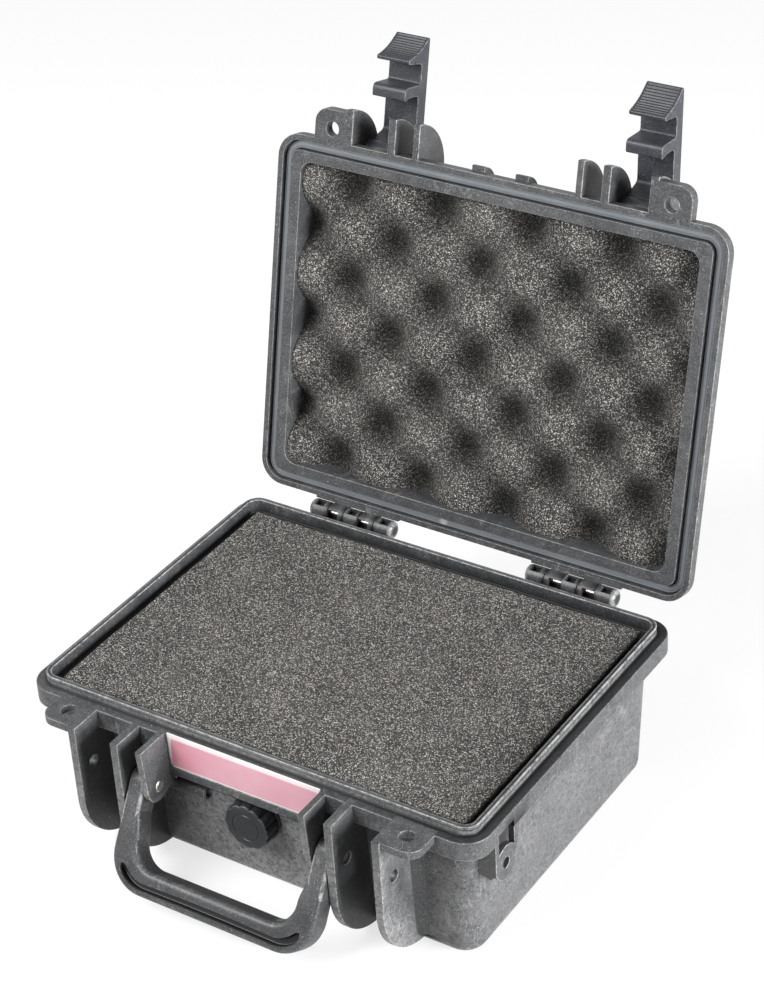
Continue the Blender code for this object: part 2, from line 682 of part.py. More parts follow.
def lid_shell(shop, parent):
    """The upper moulding, closed, in the frame of the hinge axis."""
    mate = RIM_TOP + LID_GAP
    rim = (RIM_HALF_X, RIM_HALF_Y)
    band_top = mate + LID_BAND
    shell = shop.part("lid_shell", drafted_box(rim, rim, mate, band_top, RIM_CORNER,
                                               foot=EDGE_ROUND / 2, brow=EDGE_ROUND),
                      "case_plastic", parent)
    body = (LID_HALF_X, LID_HALF_Y)
    crown = (LID_HALF_X - LID_DRAFT, LID_HALF_Y - LID_DRAFT)
    shoulder = (SHOULDER_HALF_X, SHOULDER_HALF_Y)
    panel = (PANEL_HALF_X, PANEL_HALF_Y)
    additions = [drafted_box(body, crown, mate + SINK, mate + LID_HEIGHT, LID_CORNER,
                             brow=LID_ROUND),
                 drafted_box(shoulder, shoulder, band_top - SINK, mate + SHOULDER_TOP,
                             RIM_CORNER - SKIRT, brow=EDGE_ROUND),
                 drafted_box(panel, panel, mate + LID_HEIGHT - SINK,
                             mate + LID_HEIGHT + PANEL_RISE, LID_CORNER, brow=EDGE_ROUND)]
    root = EAR_CENTRE_Y + FOOT_ROUND
    for side in (-1, 1):
        for pair in (OUTER_RIB, MIDDLE_RIB, INNER_RIB):
            additions.append(quarter_ear(side, pair, EAR_RADIUS, EAR_CENTRE_Y,
                                         mate + LUG_DROP, root))
        additions.append(quarter_ear(side, BUMP, BUMP_RADIUS, BUMP_CENTRE_Y,
                                     band_top - SINK, root))
        additions.append(lug(side, mate + LUG_DROP, band_top - LUG_DROP))
        for index in (1, 3):
            additions += knuckle(side, index, False)
    shop.join(shell, additions)

    opening = (LID_OPENING_X, LID_OPENING_Y)
    ceiling = (LID_OPENING_X - LID_INNER_DRAFT, LID_OPENING_Y - LID_INNER_DRAFT)
    cuts = [drafted_box(opening, ceiling, mate, mate + LID_DEPTH, LID_INNER_CORNER,
                        brow=FOOT_ROUND / 2)]
    cuts.append(box((-PANEL_HALF_X, -PANEL_HALF_Y, mate - OVERRUN),
                    (PANEL_HALF_X, PANEL_HALF_Y, mate + OVERRUN)))
    outer = rounded_outline(RIM_HALF_X - GROOVE_INSET, RIM_HALF_Y - GROOVE_INSET,
                            RIM_CORNER - GROOVE_INSET)
    reach = GROOVE_INSET + GROOVE_WIDTH
    inner = rounded_outline(RIM_HALF_X - reach, RIM_HALF_Y - reach, RIM_CORNER - reach)
    cuts.append(outline([outer, inner], mate - OVERRUN, mate + GROOVE_DEPTH, TOP_VIEW))
    pivot = (LATCH_PIVOT_Y, mate + LATCH_PIVOT_RISE)
    for side in (-1, 1):
        cuts.append(lug_hole(side, mate, band_top))
        for pair in (MIDDLE_RIB, OUTER_RIB):
            low, high = faces((pair[0] - OVERRUN, pair[1] + OVERRUN), side)
            cuts.append(rod("X", low, high, pivot, LATCH_BORE_RADIUS, 14))
        cuts.append(hinge_bore(side))
        cuts += [knuckle_pocket(side, index) for index in (1, 3)]
    shop.cut(shell, cuts)
    return shell


def lid_o_ring(shop, parent):
    """The seal: a flat ring with round edges in the lid's groove."""
    mate = RIM_TOP + LID_GAP
    near = GROOVE_INSET + CLEAR
    far = GROOVE_INSET + GROOVE_WIDTH - CLEAR
    outer = rounded_outline(RIM_HALF_X - near, RIM_HALF_Y - near, RIM_CORNER - near)
    inner = rounded_outline(RIM_HALF_X - far, RIM_HALF_Y - far, RIM_CORNER - far)
    ring = outline([outer, inner], mate + SEAL_RECESS, mate + GROOVE_DEPTH - CLEAR, TOP_VIEW,
                   SEAL_ROUND, 1)
    return shop.part("lid_o_ring", ring, "seal_rubber", parent)


def egg_height(x, y):
    """Depth of the egg-crate face from the lid's mating face: broad peaks, narrow pits."""
    wave = -math.cos(2 * math.pi * (x - EGG_PIT_X) / EGG_PITCH_X)
    wave *= math.cos(2 * math.pi * (y - EGG_PIT_Y) / EGG_PITCH_Y)
    share = ((1 - wave) / 2) ** EGG_SHARPNESS_SHARE
    return EGG_PEAK + (EGG_PIT - EGG_PEAK) * share


def lid_foam(shop, parent):
    """The egg-crate pad: a wavy grid drawn back to a flat sheet, trimmed to the lid's hollow."""
    mate = RIM_TOP + LID_GAP
    bm = bmesh.new()
    bmesh.ops.create_grid(bm, x_segments=EGG_CELLS_X, y_segments=EGG_CELLS_Y, size=1)
    for vert in bm.verts:
        x, y = vert.co.x * LID_OPENING_X, vert.co.y * LID_OPENING_Y
        vert.co = (x, y, mate + egg_height(x, y))
    rim = [e for e in bm.edges if e.is_boundary]
    wall = bmesh.ops.extrude_edge_only(bm, edges=rim)["geom"]
    for vert in [v for v in wall if isinstance(v, bmesh.types.BMVert)]:
        vert.co.z = mate + LID_DEPTH + OVERRUN
    bmesh.ops.contextual_create(bm, geom=[e for e in bm.edges if e.is_boundary])
    pad = shop.part("lid_foam", to_mesh(bm, "lid_foam"), "foam", parent)
    gap = FOAM_GAP
    front = (LID_OPENING_X - gap, LID_OPENING_Y - gap)
    back = (front[0] - LID_INNER_DRAFT, front[1] - LID_INNER_DRAFT)
    hollow = drafted_box(front, back, mate - CLEAR, mate + LID_DEPTH - CLEAR, LID_INNER_CORNER,
                         brow=FOOT_ROUND / 2, steps=3)
    shop.combine(pad, "INTERSECT", [hollow])
    return pad


def base_foam(shop):
    """The flat-topped block and the bottom pad under it, drafted with the walls."""
    def half_at(level):
        draft = WALL_DRAFT_SHARE * level - WALL - FOAM_GAP
        return (FOOT_HALF_X + draft, FOOT_HALF_Y + draft)

    split = FLOOR + FOAM_PAD
    low = FLOOR + CLEAR
    pad = drafted_box(half_at(low), half_at(split), low, split, FOAM_CORNER,
                      foot=FOOT_ROUND / 2, steps=4)
    shop.part("foam_pad", pad, "foam")
    block = drafted_box(half_at(split), half_at(FOAM_TOP - SKIRT), split + CLEAR,
                        FOAM_TOP - SINK, FOAM_CORNER, steps=4)
    block = shop.part("foam_block", block, "foam")
    rim = half_at(FOAM_TOP - SKIRT)
    slab = drafted_box(rim, rim, FOAM_TOP - FOAM_SLAB, FOAM_TOP, FOAM_TOP_CORNER,
                       brow=EDGE_ROUND / 2, steps=3)
    shop.join(block, [slab])
    notch = rod("Y", wall_y(VALVE_Z), BUSH_END + FOAM_GAP * 2, (0, VALVE_Z),
                NUT_ACROSS + SKIRT, 16)
    shop.cut(block, [notch])


def hinge_pin(shop, side, label):
    low, high = faces((KNUCKLE_ENDS[0] + CLEAR, KNUCKLE_ENDS[-1] - CLEAR), side)
    pin = rod("X", low, high, (HINGE_Y, HINGE_Z), HINGE_PIN_RADIUS, 12)
    shop.part(f"hinge_pin_{label}", pin, "pin_steel")


def grip_curve(share):
    """A point on the latch's finger pad, from its tip to its inner edge, slightly hollow."""
    start = (LATCH_TIP - CLEAR, LATCH_SKIN - SINK)
    end = (LATCH_PAD_FOOT_U + CLEAR, LATCH_PAD_FOOT_V + CLEAR)
    hollow = LATCH_PAD_HOLLOW * math.sin(math.pi * share)
    u = start[0] + (end[0] - start[0]) * share - hollow
    return (u, start[1] + (end[1] - start[1]) * share + hollow / 2)


def latch_profile():
    """The latch's side view as (u, v) points: barrel, skin, finger pad, hook and floor."""
    fillet = LATCH_FILLET
    high, low = LATCH_UPPER_FLOOR, LATCH_FLOOR
    near, far = LATCH_HOOK_NEAR, LATCH_HOOK_FAR
    points = arc((0, 0), LATCH_BARREL, 20, -180, 12)
    points += [(-LATCH_BARREL, low), (-LATCH_BARREL + fillet / 2, LATCH_SKIN - fillet),
               (-LATCH_BARREL + fillet, LATCH_SKIN)]
    points += [(LATCH_TIP - fillet, LATCH_SKIN), (LATCH_TIP, LATCH_SKIN - fillet / 2)]
    points += [grip_curve(step / 6) for step in range(7)]
    points += [(LATCH_PAD_FOOT_U - CLEAR, LATCH_PAD_FOOT_V - CLEAR),
               (LATCH_PAD_FOOT_U - fillet, LATCH_PAD_FOOT_V), (LATCH_RISER, high - fillet * 1.4),
               (LATCH_RISER - fillet / 2, high - fillet * 0.4), (LATCH_RISER - fillet * 1.3, high)]
    points += [(far + fillet, high), (far, high - fillet / 2), (far, fillet * 1.6),
               (far - fillet / 2, fillet / 3), (far - fillet * 1.7, -LATCH_HOOK_TOP)]
    points += [(near + fillet * 0.4, -LATCH_HOOK_TOP), (near, fillet / 4), (near, fillet * 3.7),
               (near - fillet, low - fillet), (near - fillet * 1.8, low - fillet / 4),
               (near - fillet * 3, low)]
    points += [(LATCH_NECK, low), (LATCH_NECK - fillet * 1.2, low - fillet / 2),
               (LATCH_NECK - fillet * 1.9, low - fillet * 1.7)]
    return points


def latch(shop, side, label, parent):
    """One latch in its closed pose about its pivot: u runs down and v runs to the front."""
    to_world = Matrix(((0, 0, 1, 0), (0, -1, 0, 0), (-1, 0, 0, 0), (0, 0, 0, 1)))
    low, high = faces(LATCH_FACES, side)
    mesh = outline([latch_profile()], low, high, TOP_VIEW)
    mesh.transform(to_world)
    mesh.flip_normals()
    bm = bmesh.new()
    bm.from_mesh(mesh)
    piece = shop.part(f"latch_{label}", to_mesh(bm, "latch"), "latch_plastic", parent)
    cuts = [rod("X", low - OVERRUN, high + OVERRUN, (0, 0), LATCH_BORE_RADIUS, 14)]
    for number in range(GRIP_GROOVES):
        share = (number + 0.7) / (GRIP_GROOVES + 0.4)
        u, v = grip_curve(share)
        half = GRIP_GROOVE_WIDTH / 2
        groove = box((low + GRIP_MARGIN, -half, -GRIP_GROOVE_DEPTH),
                     (high - GRIP_MARGIN, half, OVERRUN))
        start, end = grip_curve(share - 0.02), grip_curve(share + 0.02)
        slope = math.atan2(-(end[0] - start[0]), -(end[1] - start[1]))
        groove.transform(Matrix.Translation((0, -v, -u)) @ Matrix.Rotation(slope, 4, "X")
                         @ Matrix.Rotation(math.pi, 4, "X"))
        cuts.append(groove)
    shop.cut(piece, cuts)
    return piece


def latch_pin(shop, side, label, parent):
    pivot = (LATCH_PIVOT_Y, RIM_TOP + LID_GAP + LATCH_PIVOT_RISE)
    low, high = faces((MIDDLE_RIB[0] + CLEAR * 2, OUTER_RIB[1] - CLEAR * 2), side)
    pin = rod("X", low, high, pivot, LATCH_PIN_RADIUS, 14)
    shop.part(f"latch_pin_{label}", pin, "pin_steel", parent)


def handle_grip_outline():
    """The U of the handle as (x, z) points, hanging down from the pins."""
    reach = -HANDLE_REACH
    outer_centre = HANDLE_HALF - HANDLE_OUTER_CORNER
    inner_centre = HANDLE_INNER_HALF - HANDLE_INNER_CORNER
    bar_top = reach + HANDLE_BAR
    top = -HANDLE_TOP
    points = arc((outer_centre, reach + HANDLE_OUTER_CORNER), HANDLE_OUTER_CORNER, 270, 360, 7)
    points += arc((HANDLE_HALF - SHOULDER_ROUND, top - SHOULDER_ROUND), SHOULDER_ROUND, 0, 90, 3)
    points += arc((HANDLE_INNER_HALF + SHOULDER_ROUND, top - SHOULDER_ROUND), SHOULDER_ROUND,
                  90, 180, 3)
    points += arc((inner_centre, bar_top + HANDLE_INNER_CORNER), HANDLE_INNER_CORNER, 0, -90, 5)
    return points + [(-x, z) for x, z in points[::-1]]


def handle_slot():
    """The long groove in the handle's front face, parallel to its outer edge."""
    def line(inset):
        corner = HANDLE_OUTER_CORNER - inset
        centre = HANDLE_HALF - HANDLE_OUTER_CORNER
        level = -HANDLE_REACH + HANDLE_OUTER_CORNER
        left = arc((-centre, level), corner, 180 + SLOT_END_DEGREES, 270, 6)
        return left + arc((centre, level), corner, 270, 360 - SLOT_END_DEGREES, 6)

    def end_round(side):
        across = HANDLE_HALF - HANDLE_OUTER_CORNER
        angle = -SLOT_END_DEGREES if side > 0 else 180 + SLOT_END_DEGREES
        middle = arc((side * across, -HANDLE_REACH + HANDLE_OUTER_CORNER),
                     HANDLE_OUTER_CORNER - SLOT_INSET, angle, angle, 1)[0]
        return arc(middle, SLOT_HALF, angle, angle + side * 180, 4)[1:-1]

    points = line(SLOT_INSET - SLOT_HALF) + end_round(1)
    points += line(SLOT_INSET + SLOT_HALF)[::-1] + end_round(-1)[::-1]
    return outline([points], -HANDLE_FRONT - OVERRUN, -HANDLE_FRONT + SLOT_DEPTH, FRONT_VIEW)


def handle(shop, parent):
    """The carry handle: a rounded U with two flat tongues that turn on the pins."""
    grip = outline([handle_grip_outline()], -HANDLE_FRONT, HANDLE_BACK, FRONT_VIEW,
                   HANDLE_ROUND, 2)
    piece = shop.part("handle", grip, "case_plastic", parent)
    tongues = []
    for side in (-1, 1):
        points = arc((0, 0), TONGUE_ROUND, 0, 180, 9)
        foot = -HANDLE_TOP - HANDLE_ROUND * 2
        points += [(-TONGUE_ROUND, -HANDLE_TOP - HANDLE_ROUND), (-HANDLE_FRONT / 2, foot),
                   (HANDLE_BACK / 2, foot), (HANDLE_BACK - CLEAR * 2, -HANDLE_TOP - HANDLE_ROUND)]
        tongues.append(outline([points], *faces(TONGUE_FACES, side), SIDE_VIEW, TONGUE_EDGE, 1))
    shop.join(piece, tongues)
    cuts = [handle_slot()]
    for side in (-1, 1):
        low, high = faces((TONGUE_FACES[0] - OVERRUN, TONGUE_FACES[1] + OVERRUN), side)
        cuts.append(rod("X", low, high, (0, 0), PIN_BORE_RADIUS, 16))
    shop.cut(piece, cuts)
    return piece


def handle_pin(shop, side, label):
    low, high = faces((INNER_RIB[0] - CLEAR * 2, MIDDLE_RIB[1] - SINK), side)
    pin = rod("X", low, high, (PIN_Y, PIN_Z), PIN_RADIUS, 18, tip=EDGE_ROUND / 2)
    shop.part(f"handle_pin_{label}", pin, "pin_steel")


def nameplate(shop):
    """The bare plate in the panel's recess."""
    points = rounded_outline(PLATE_HALF_X, (PLATE_TOP - PLATE_FOOT) / 2, PLATE_CORNER)
    middle = (PLATE_TOP + PLATE_FOOT) / 2
    back = PANEL_FRONT + PLATE_RECESS - CLEAR
    plate = outline([[(x, z + middle) for x, z in points]], back - PLATE_THICKNESS, back,
                    FRONT_VIEW)
    shop.part("nameplate", plate, "plate")


def ring(major, minor, y, steps=20, around=8):
    """A small torus about the valve's axis."""
    bm = bmesh.new()
    circle = arc((major, 0), minor, 0, 360, around)[:-1]
    rows = []
    for step in range(steps):
        turn = 2 * math.pi * step / steps
        rows.append([bm.verts.new((p[0] * math.cos(turn), y + p[1],
                                   VALVE_Z + p[0] * math.sin(turn))) for p in circle])
    for step in range(steps):
        here, there = rows[step], rows[(step + 1) % steps]
        for index in range(around):
            after = (index + 1) % around
            bm.faces.new((here[index], here[after], there[after], there[index]))
    return to_mesh(bm, "ring")


def disc(radius, bore, start, end, sides=ROUND_STEPS):
    """A washer about the valve's axis, between two y values."""
    loops = [[(x, z + VALVE_Z) for x, z in arc((0, 0), radius, 0, 360, sides)[:-1]]]
    loops.append([(x, z + VALVE_Z) for x, z in arc((0, 0), bore, 0, 360, ROUND_STEPS)[:-1]])
    return outline(loops, start, end, FRONT_VIEW)


def valve(shop, travel, spin):
    """The purge valve: gasket, bush and nut in the wall, and the knob with its seal."""
    wall = wall_y(VALVE_Z) - WALL_DRAFT_SHARE * BUSH_FLANGE_RADIUS - CLEAR
    shop.part("valve_gasket", disc(BUSH_FLANGE_RADIUS - SINK, BUSH_RADIUS + CLEAR, wall - GASKET,
                                   wall), "seal_rubber")
    flange_back = wall - GASKET - CLEAR
    flange_front = flange_back - BUSH_FLANGE
    bush = shop.part("valve_body", disc(BUSH_FLANGE_RADIUS, BUSH_BORE, flange_front, flange_back),
                     "knob_plastic")
    shop.join(bush, [disc(BUSH_RADIUS, BUSH_BORE, flange_back - BUSH_FLANGE / 2, BUSH_END)])
    inner_wall = wall_y(VALVE_Z) + WALL
    shop.part("valve_nut", disc(NUT_ACROSS, BUSH_RADIUS + CLEAR, inner_wall + CLEAR * 2,
                                inner_wall + CLEAR * 2 + NUT_DEPTH, 6), "knob_plastic")
    ring_y = flange_front - RING_MINOR - CLEAR
    shop.part("valve_o_ring", ring(RING_MAJOR, RING_MINOR, ring_y), "seal_rubber", travel)

    back = KNOB_FACE + KNOB_LENGTH
    steps = KNOB_FLUTES * 6
    points = []
    for step in range(steps):
        turn = 2 * math.pi * step / steps
        radius = KNOB_RADIUS - KNOB_FLUTE_DEPTH * (1 - abs(math.cos(turn * KNOB_FLUTES / 2))) * 2
        points.append((radius * math.cos(turn), VALVE_Z + radius * math.sin(turn)))
    knob = shop.part("valve_knob", outline([points], KNOB_FACE, back, FRONT_VIEW,
                                           EDGE_ROUND, 1), "knob_plastic", spin)
    stem = rod("Y", back - SINK, back + KNOB_STEM_LENGTH, (0, VALVE_Z), KNOB_STEM_RADIUS, 16)
    shop.join(knob, [stem])
    seat = disc(RING_MAJOR + RING_MINOR + CLEAR, KNOB_STEM_RADIUS - CLEAR,
                ring_y - RING_MINOR - CLEAR, back + OVERRUN)
    mark = disc(KNOB_RING_RADIUS, KNOB_RING_RADIUS - EDGE_ROUND, KNOB_FACE - OVERRUN,
                KNOB_FACE + KNOB_RING_DEPTH, 32)
    return knob, seat, mark


def clear_scene():
    """Starts from nothing."""
    for item in list(bpy.data.objects):
        bpy.data.objects.remove(item)
    for item in list(bpy.data.collections):
        bpy.data.collections.remove(item)


def rebase(piece, parent):
    """Keeps a piece where it was modelled while it takes its origin from its joint's empty."""
    bpy.context.view_layer.update()
    shift = Matrix.Translation(-parent.location)
    piece.data.transform(shift)
    for modifier in piece.modifiers:
        for tool in modifier.collection.objects:
            tool.data.transform(shift)


def main():
    clear_scene()
    shop = Shop()
    mate = RIM_TOP + LID_GAP
    base_shell(shop)
    base_foam(shop)
    nameplate(shop)

    lid = shop.empty("lid_axis", (0, HINGE_Y, HINGE_Z), -LID_OPEN)
    for piece in (lid_shell(shop, lid), lid_o_ring(shop, lid), lid_foam(shop, lid)):
        rebase(piece, lid)

    handle_axis = shop.empty("handle_axis", (0, PIN_Y, PIN_Z), -HANDLE_TILT)
    handle(shop, handle_axis)
    for side, label, opened in ((-1, "left", LATCH_LEFT_OPEN), (1, "right", LATCH_RIGHT_OPEN)):
        hinge_pin(shop, side, label)
        handle_pin(shop, side, label)
        latch_pin(shop, side, label, lid)
        rebase(bpy.data.objects[f"latch_pin_{label}"], lid)
        pivot = (0, LATCH_PIVOT_Y - HINGE_Y, mate + LATCH_PIVOT_RISE - HINGE_Z)
        axis = shop.empty(f"latch_{label}_axis", pivot, -opened, lid)
        latch(shop, side, label, axis)

    valve_axis = shop.empty("valve_travel", (0, 0, 0))
    spin = shop.empty("knob_axis", (0, 0, 0), 0, valve_axis)
    knob, seat, mark = valve(shop, valve_axis, spin)
    shop.cut(knob, [seat, mark])
    shop.smooth()


main()
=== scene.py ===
"""Looks of a small hard protector case that stands open.

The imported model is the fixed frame. Each visible piece is a surface worked out as whole arrays:
a rounded rectangle carried along a section, an outline carried through its thickness, or a
field of heights. +Z is up, +X along the hinges, -Y towards the handle. The lid's pieces are
worked out closed and then turned open about the hinge pins.
"""

import json
import math
from types import SimpleNamespace

import bpy
import numpy as np
from mathutils import Matrix, Vector
from mathutils.geometry import tessellate_polygon


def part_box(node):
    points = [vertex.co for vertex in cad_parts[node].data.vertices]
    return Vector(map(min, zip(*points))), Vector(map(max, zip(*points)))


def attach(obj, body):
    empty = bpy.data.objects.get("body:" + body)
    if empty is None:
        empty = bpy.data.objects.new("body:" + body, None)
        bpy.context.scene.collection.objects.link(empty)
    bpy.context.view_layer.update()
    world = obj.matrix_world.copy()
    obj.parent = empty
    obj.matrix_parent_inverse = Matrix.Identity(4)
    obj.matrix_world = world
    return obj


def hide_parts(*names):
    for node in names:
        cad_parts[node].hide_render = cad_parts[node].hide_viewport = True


bl_info = {
    "name": "Protector Case Looks",
    "version": (1, 0, 0),
    "blender": (4, 5, 0),
    "location": "3D View > Sidebar > Case",
    "description": "Builds the visible pieces of an open protector case round its packed frame",
    "category": "Add Mesh",
}

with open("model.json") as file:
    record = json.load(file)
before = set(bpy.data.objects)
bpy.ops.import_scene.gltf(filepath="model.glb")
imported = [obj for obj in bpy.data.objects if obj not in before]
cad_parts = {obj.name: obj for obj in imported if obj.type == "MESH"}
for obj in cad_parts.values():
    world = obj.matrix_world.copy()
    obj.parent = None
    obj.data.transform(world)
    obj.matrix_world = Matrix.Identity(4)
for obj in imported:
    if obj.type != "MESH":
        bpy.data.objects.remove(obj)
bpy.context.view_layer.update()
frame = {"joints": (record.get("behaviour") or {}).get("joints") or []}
LID_RANGE = next(j["range_deg"] for j in frame["joints"] if j["name"] == "lid_hinge")

# Shapes are worked out in millimetres, and add_piece turns them to metres
MM = 0.001

# Rim, the same on both halves
RIM_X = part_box("base_shell")[1].x / MM
RIM_Y = 101.2
RIM_TOP = 84.3
MATE = 86.9

# Base walls: they draw in by DRAFT for each millimetre down, to a rounded foot
DRAFT = 0.0422
FOOT_INSET, FOOT_SKEW, FOOT_ROUND = 12.1, -0.8, 6.0
WALL_FOOT = RIM_Y - FOOT_INSET + FOOT_SKEW
CAVITY_TOP, CAVITY_FLOOR = (14.6, 81.5), (17.9, 3.5)

# Recess between the inner ribs, which holds the plate
PANEL_FRONT = -99.0
PANEL_THICK = 1.3
BAY = 46.8

# Hinge as (y, z), and how far the lid stands open
HINGE = (107.25, 84.6)
OPEN = math.radians(LID_RANGE[1])
KNUCKLE_ENDS = (42.2, 54.2, 64.5, 74.2, 84.5, 96.7)
KNUCKLE_RADIUS = 5.25

# Ribs as |x| of their two faces, their outline, and the handle's pin through them as (y, z)
RIBS = {"outer": (88.4, 93.0), "middle": (61.5, 66.2), "inner": (46.8, 50.6)}
RIB_FRONT = -119.5
RIB_HEAD = [(-84.8, 80.5), (-97.4, 80.5), (-97.4, 84.32), (RIB_FRONT, 84.32)]
SWEEP, SWEEP_LOW = 37.5, 0.5
PIN = (-108.4, 56.9)
PIN_BORE = 3.3

# Padlock lugs seen from above, and strap lugs seen from the side
LUG_HOLE = (101.2, -107.7, 4.0)
LUG_SIDE, LUG_FRONT, LUG_CORNER = 112.4, -118.3, 8.0
STRAP_HOLE = (-74.7, 57.3)
STRAP_SLOT = (-80.6, -66.5, 78.0)

# Latches and handle: degrees between the pose as drawn and the photographed one
LATCH_PIVOT = (-96.5, 102.9)
LATCH_BORE = 2.2
LATCH_OPEN = {"left": 90.0, "right": 81.5}
HANDLE_TILT = 30.0

VALVE_Z = 43.5
FOAM_BULGE = 1.5

# Two points this far apart make a step, and lengths are divided by no less than the second
HAIR = 0.01
TINY = 1e-6

SHARP = math.radians(38)
SIDES = {"left": -1, "right": 1}


# ---------------------------------------------------------------- settings


def length(name, text, default):
    """A length in metres, shown in the scene's units."""
    return bpy.props.FloatProperty(name=name, description=text, default=default, min=0,
                                   precision=5, unit="LENGTH")


def power(name, text, default):
    """A lamp's power in watts."""
    return bpy.props.FloatProperty(name=name, description=text, default=default, min=0,
                                   unit="POWER")


def colour(name, text, default):
    """A colour setting."""
    return bpy.props.FloatVectorProperty(name=name, description=text, default=default, size=3,
                                         min=0, max=1, subtype="COLOR")


def share(name, text, default, top=1.0):
    """A plain factor."""
    return bpy.props.FloatProperty(name=name, description=text, default=default, min=0, max=top)


class CaseSizes(bpy.types.PropertyGroup):
    """Sizes that a user would change."""

    rim_round: length("Rim rounding", "Rounding of the two mouldings' rims", 0.0008)
    rib_round: length("Rib rounding", "Rounding of ribs, ears and lugs", 0.00055)
    latch_round: length("Latch rounding", "Rounding of the latches' side edges", 0.0005)
    egg_pitch_x: length("Pit spacing along", "Distance between pits along the hinges", 0.0537)
    egg_pitch_y: length("Pit spacing across", "Distance between pits across the lid", 0.0520)
    egg_peak: length("Peak depth", "How far the foam's peaks lie inside the lid's face", 0.0018)
    egg_pit: length("Pit depth", "How far the foam's pits lie inside the lid's face", 0.0150)
    egg_sharpness: share("Pit sharpness", "Above 1 narrows the pits and widens the peaks", 1.5, 4)
    foam_sag: length("Foam waviness", "Height of the slow waves in the base foam", 0.00022)
    knob_flute: length("Flute depth", "Depth of the flutes round the purge knob", 0.0010)
    grip_depth: length("Grip depth", "Depth of the grooves on the latches' finger pads", 0.00055)
    grip_count: bpy.props.IntProperty(name="Grip grooves", min=3, max=20, default=11,
                                      description="Grooves on each latch's finger pad")


class CaseColours(bpy.types.PropertyGroup):
    """Colours and finishes that a user would change."""

    plastic: colour("Case plastic", "Moulded halves and handle", (0.024, 0.025, 0.027))
    # The worn colour is also the colour of the painted light on lit faces
    plastic_worn: colour("Worn plastic", "Scuffs, dust and rubbed edges", (0.380, 0.380, 0.380))
    latch: colour("Latch plastic", "Throw latches", (0.012, 0.014, 0.019))
    knob: colour("Knob plastic", "Purge knob and its bush", (0.012, 0.013, 0.015))
    seal: colour("Seal rubber", "Ring in the lid's groove", (0.100, 0.110, 0.120))
    foam: colour("Foam", "Body of the foam", (0.011, 0.0105, 0.010))
    foam_speck: colour("Foam cells", "Cells that catch the light", (0.420, 0.405, 0.380))
    plate: colour("Plate", "Bare label plate", (0.420, 0.205, 0.248))
    plate_edge: colour("Plate edge", "Pale border of the label plate", (0.560, 0.540, 0.535))
    steel: colour("Steel", "Hinge, latch and handle pins", (0.620, 0.600, 0.560))
    # The dust share also scales that painted light
    dust: share("Dust", "Strength of the dust and scuffs on the plastic", 0.55)


class CaseStage(bpy.types.PropertyGroup):
    """Light round the case."""

    key: power("Key light", "Power of the large light on the right", 116)
    fill: power("Fill light", "Power of the light on the left", 66)
    room: share("Room light", "Strength of the light from all round", 0.26, 4)


# ---------------------------------------------------------------- surfaces


class Shell:
    """A closed surface: points, corner numbers of all faces in a row, corners per face, and a
    number per point for worn edges, painted light above 0 and painted shade below 0.
    """

    def __init__(self, points, corners, counts, wear):
        self.points = np.asarray(points, float).reshape(-1, 3)
        self.corners = np.asarray(corners, int)
        self.counts = np.asarray(counts, int)
        self.wear = np.broadcast_to(np.asarray(wear, float).reshape(-1), len(self.points))
        if self.volume() < 0:
            self.corners, self.counts = self.corners[::-1], self.counts[::-1]

    def volume(self):
        """Sum over the faces' fans of first . (corner x next) / 6."""
        starts = np.cumsum(self.counts) - self.counts
        face = np.repeat(np.arange(len(self.counts)), self.counts)
        last = np.zeros(len(self.corners), bool)
        last[starts + self.counts - 1] = True
        first = self.points[self.corners[starts][face]]
        here = self.points[self.corners]
        after = self.points[np.roll(self.corners, -1)]
        return (np.cross(here, after) * first).sum(1)[~last].sum() / 6

    def moved(self, matrix):
        """The same shell with every point p taken to M p."""
        turn = np.array(matrix.to_3x3())
        shift = np.array(matrix.to_translation())
        return Shell(self.points @ turn.T + shift, self.corners, self.counts, self.wear)


def bands(numbers):
    """Quads between rows of point numbers: j and j + 1 of one row, then the same of the next."""
    here, there = numbers[:-1], numbers[1:]
    return np.stack([here, np.roll(here, -1, 1), np.roll(there, -1, 1), there], -1).reshape(-1)


def skin(rings, wear=0.0, loop=False):
    """Joins rings of equal length: point j of ring i meets point j + 1 and ring i + 1.

    Two flat faces close the ends, unless the last ring meets the first one again.
    """
    rings = np.asarray(rings, float)
    many, around = rings.shape[:2]
    numbers = np.arange(many * around).reshape(many, around)
    if loop:
        corners, ends = bands(np.concatenate([numbers, numbers[:1]])), []
    else:
        corners, ends = bands(numbers), [around, around]
        corners = np.concatenate([corners, numbers[0, ::-1], numbers[-1]])
    counts = [4] * ((many - len(ends) // 2) * around) + ends
    wear = np.broadcast_to(np.asarray(wear, float).reshape(-1, 1), (many, around))
    return Shell(rings, corners, counts, wear)


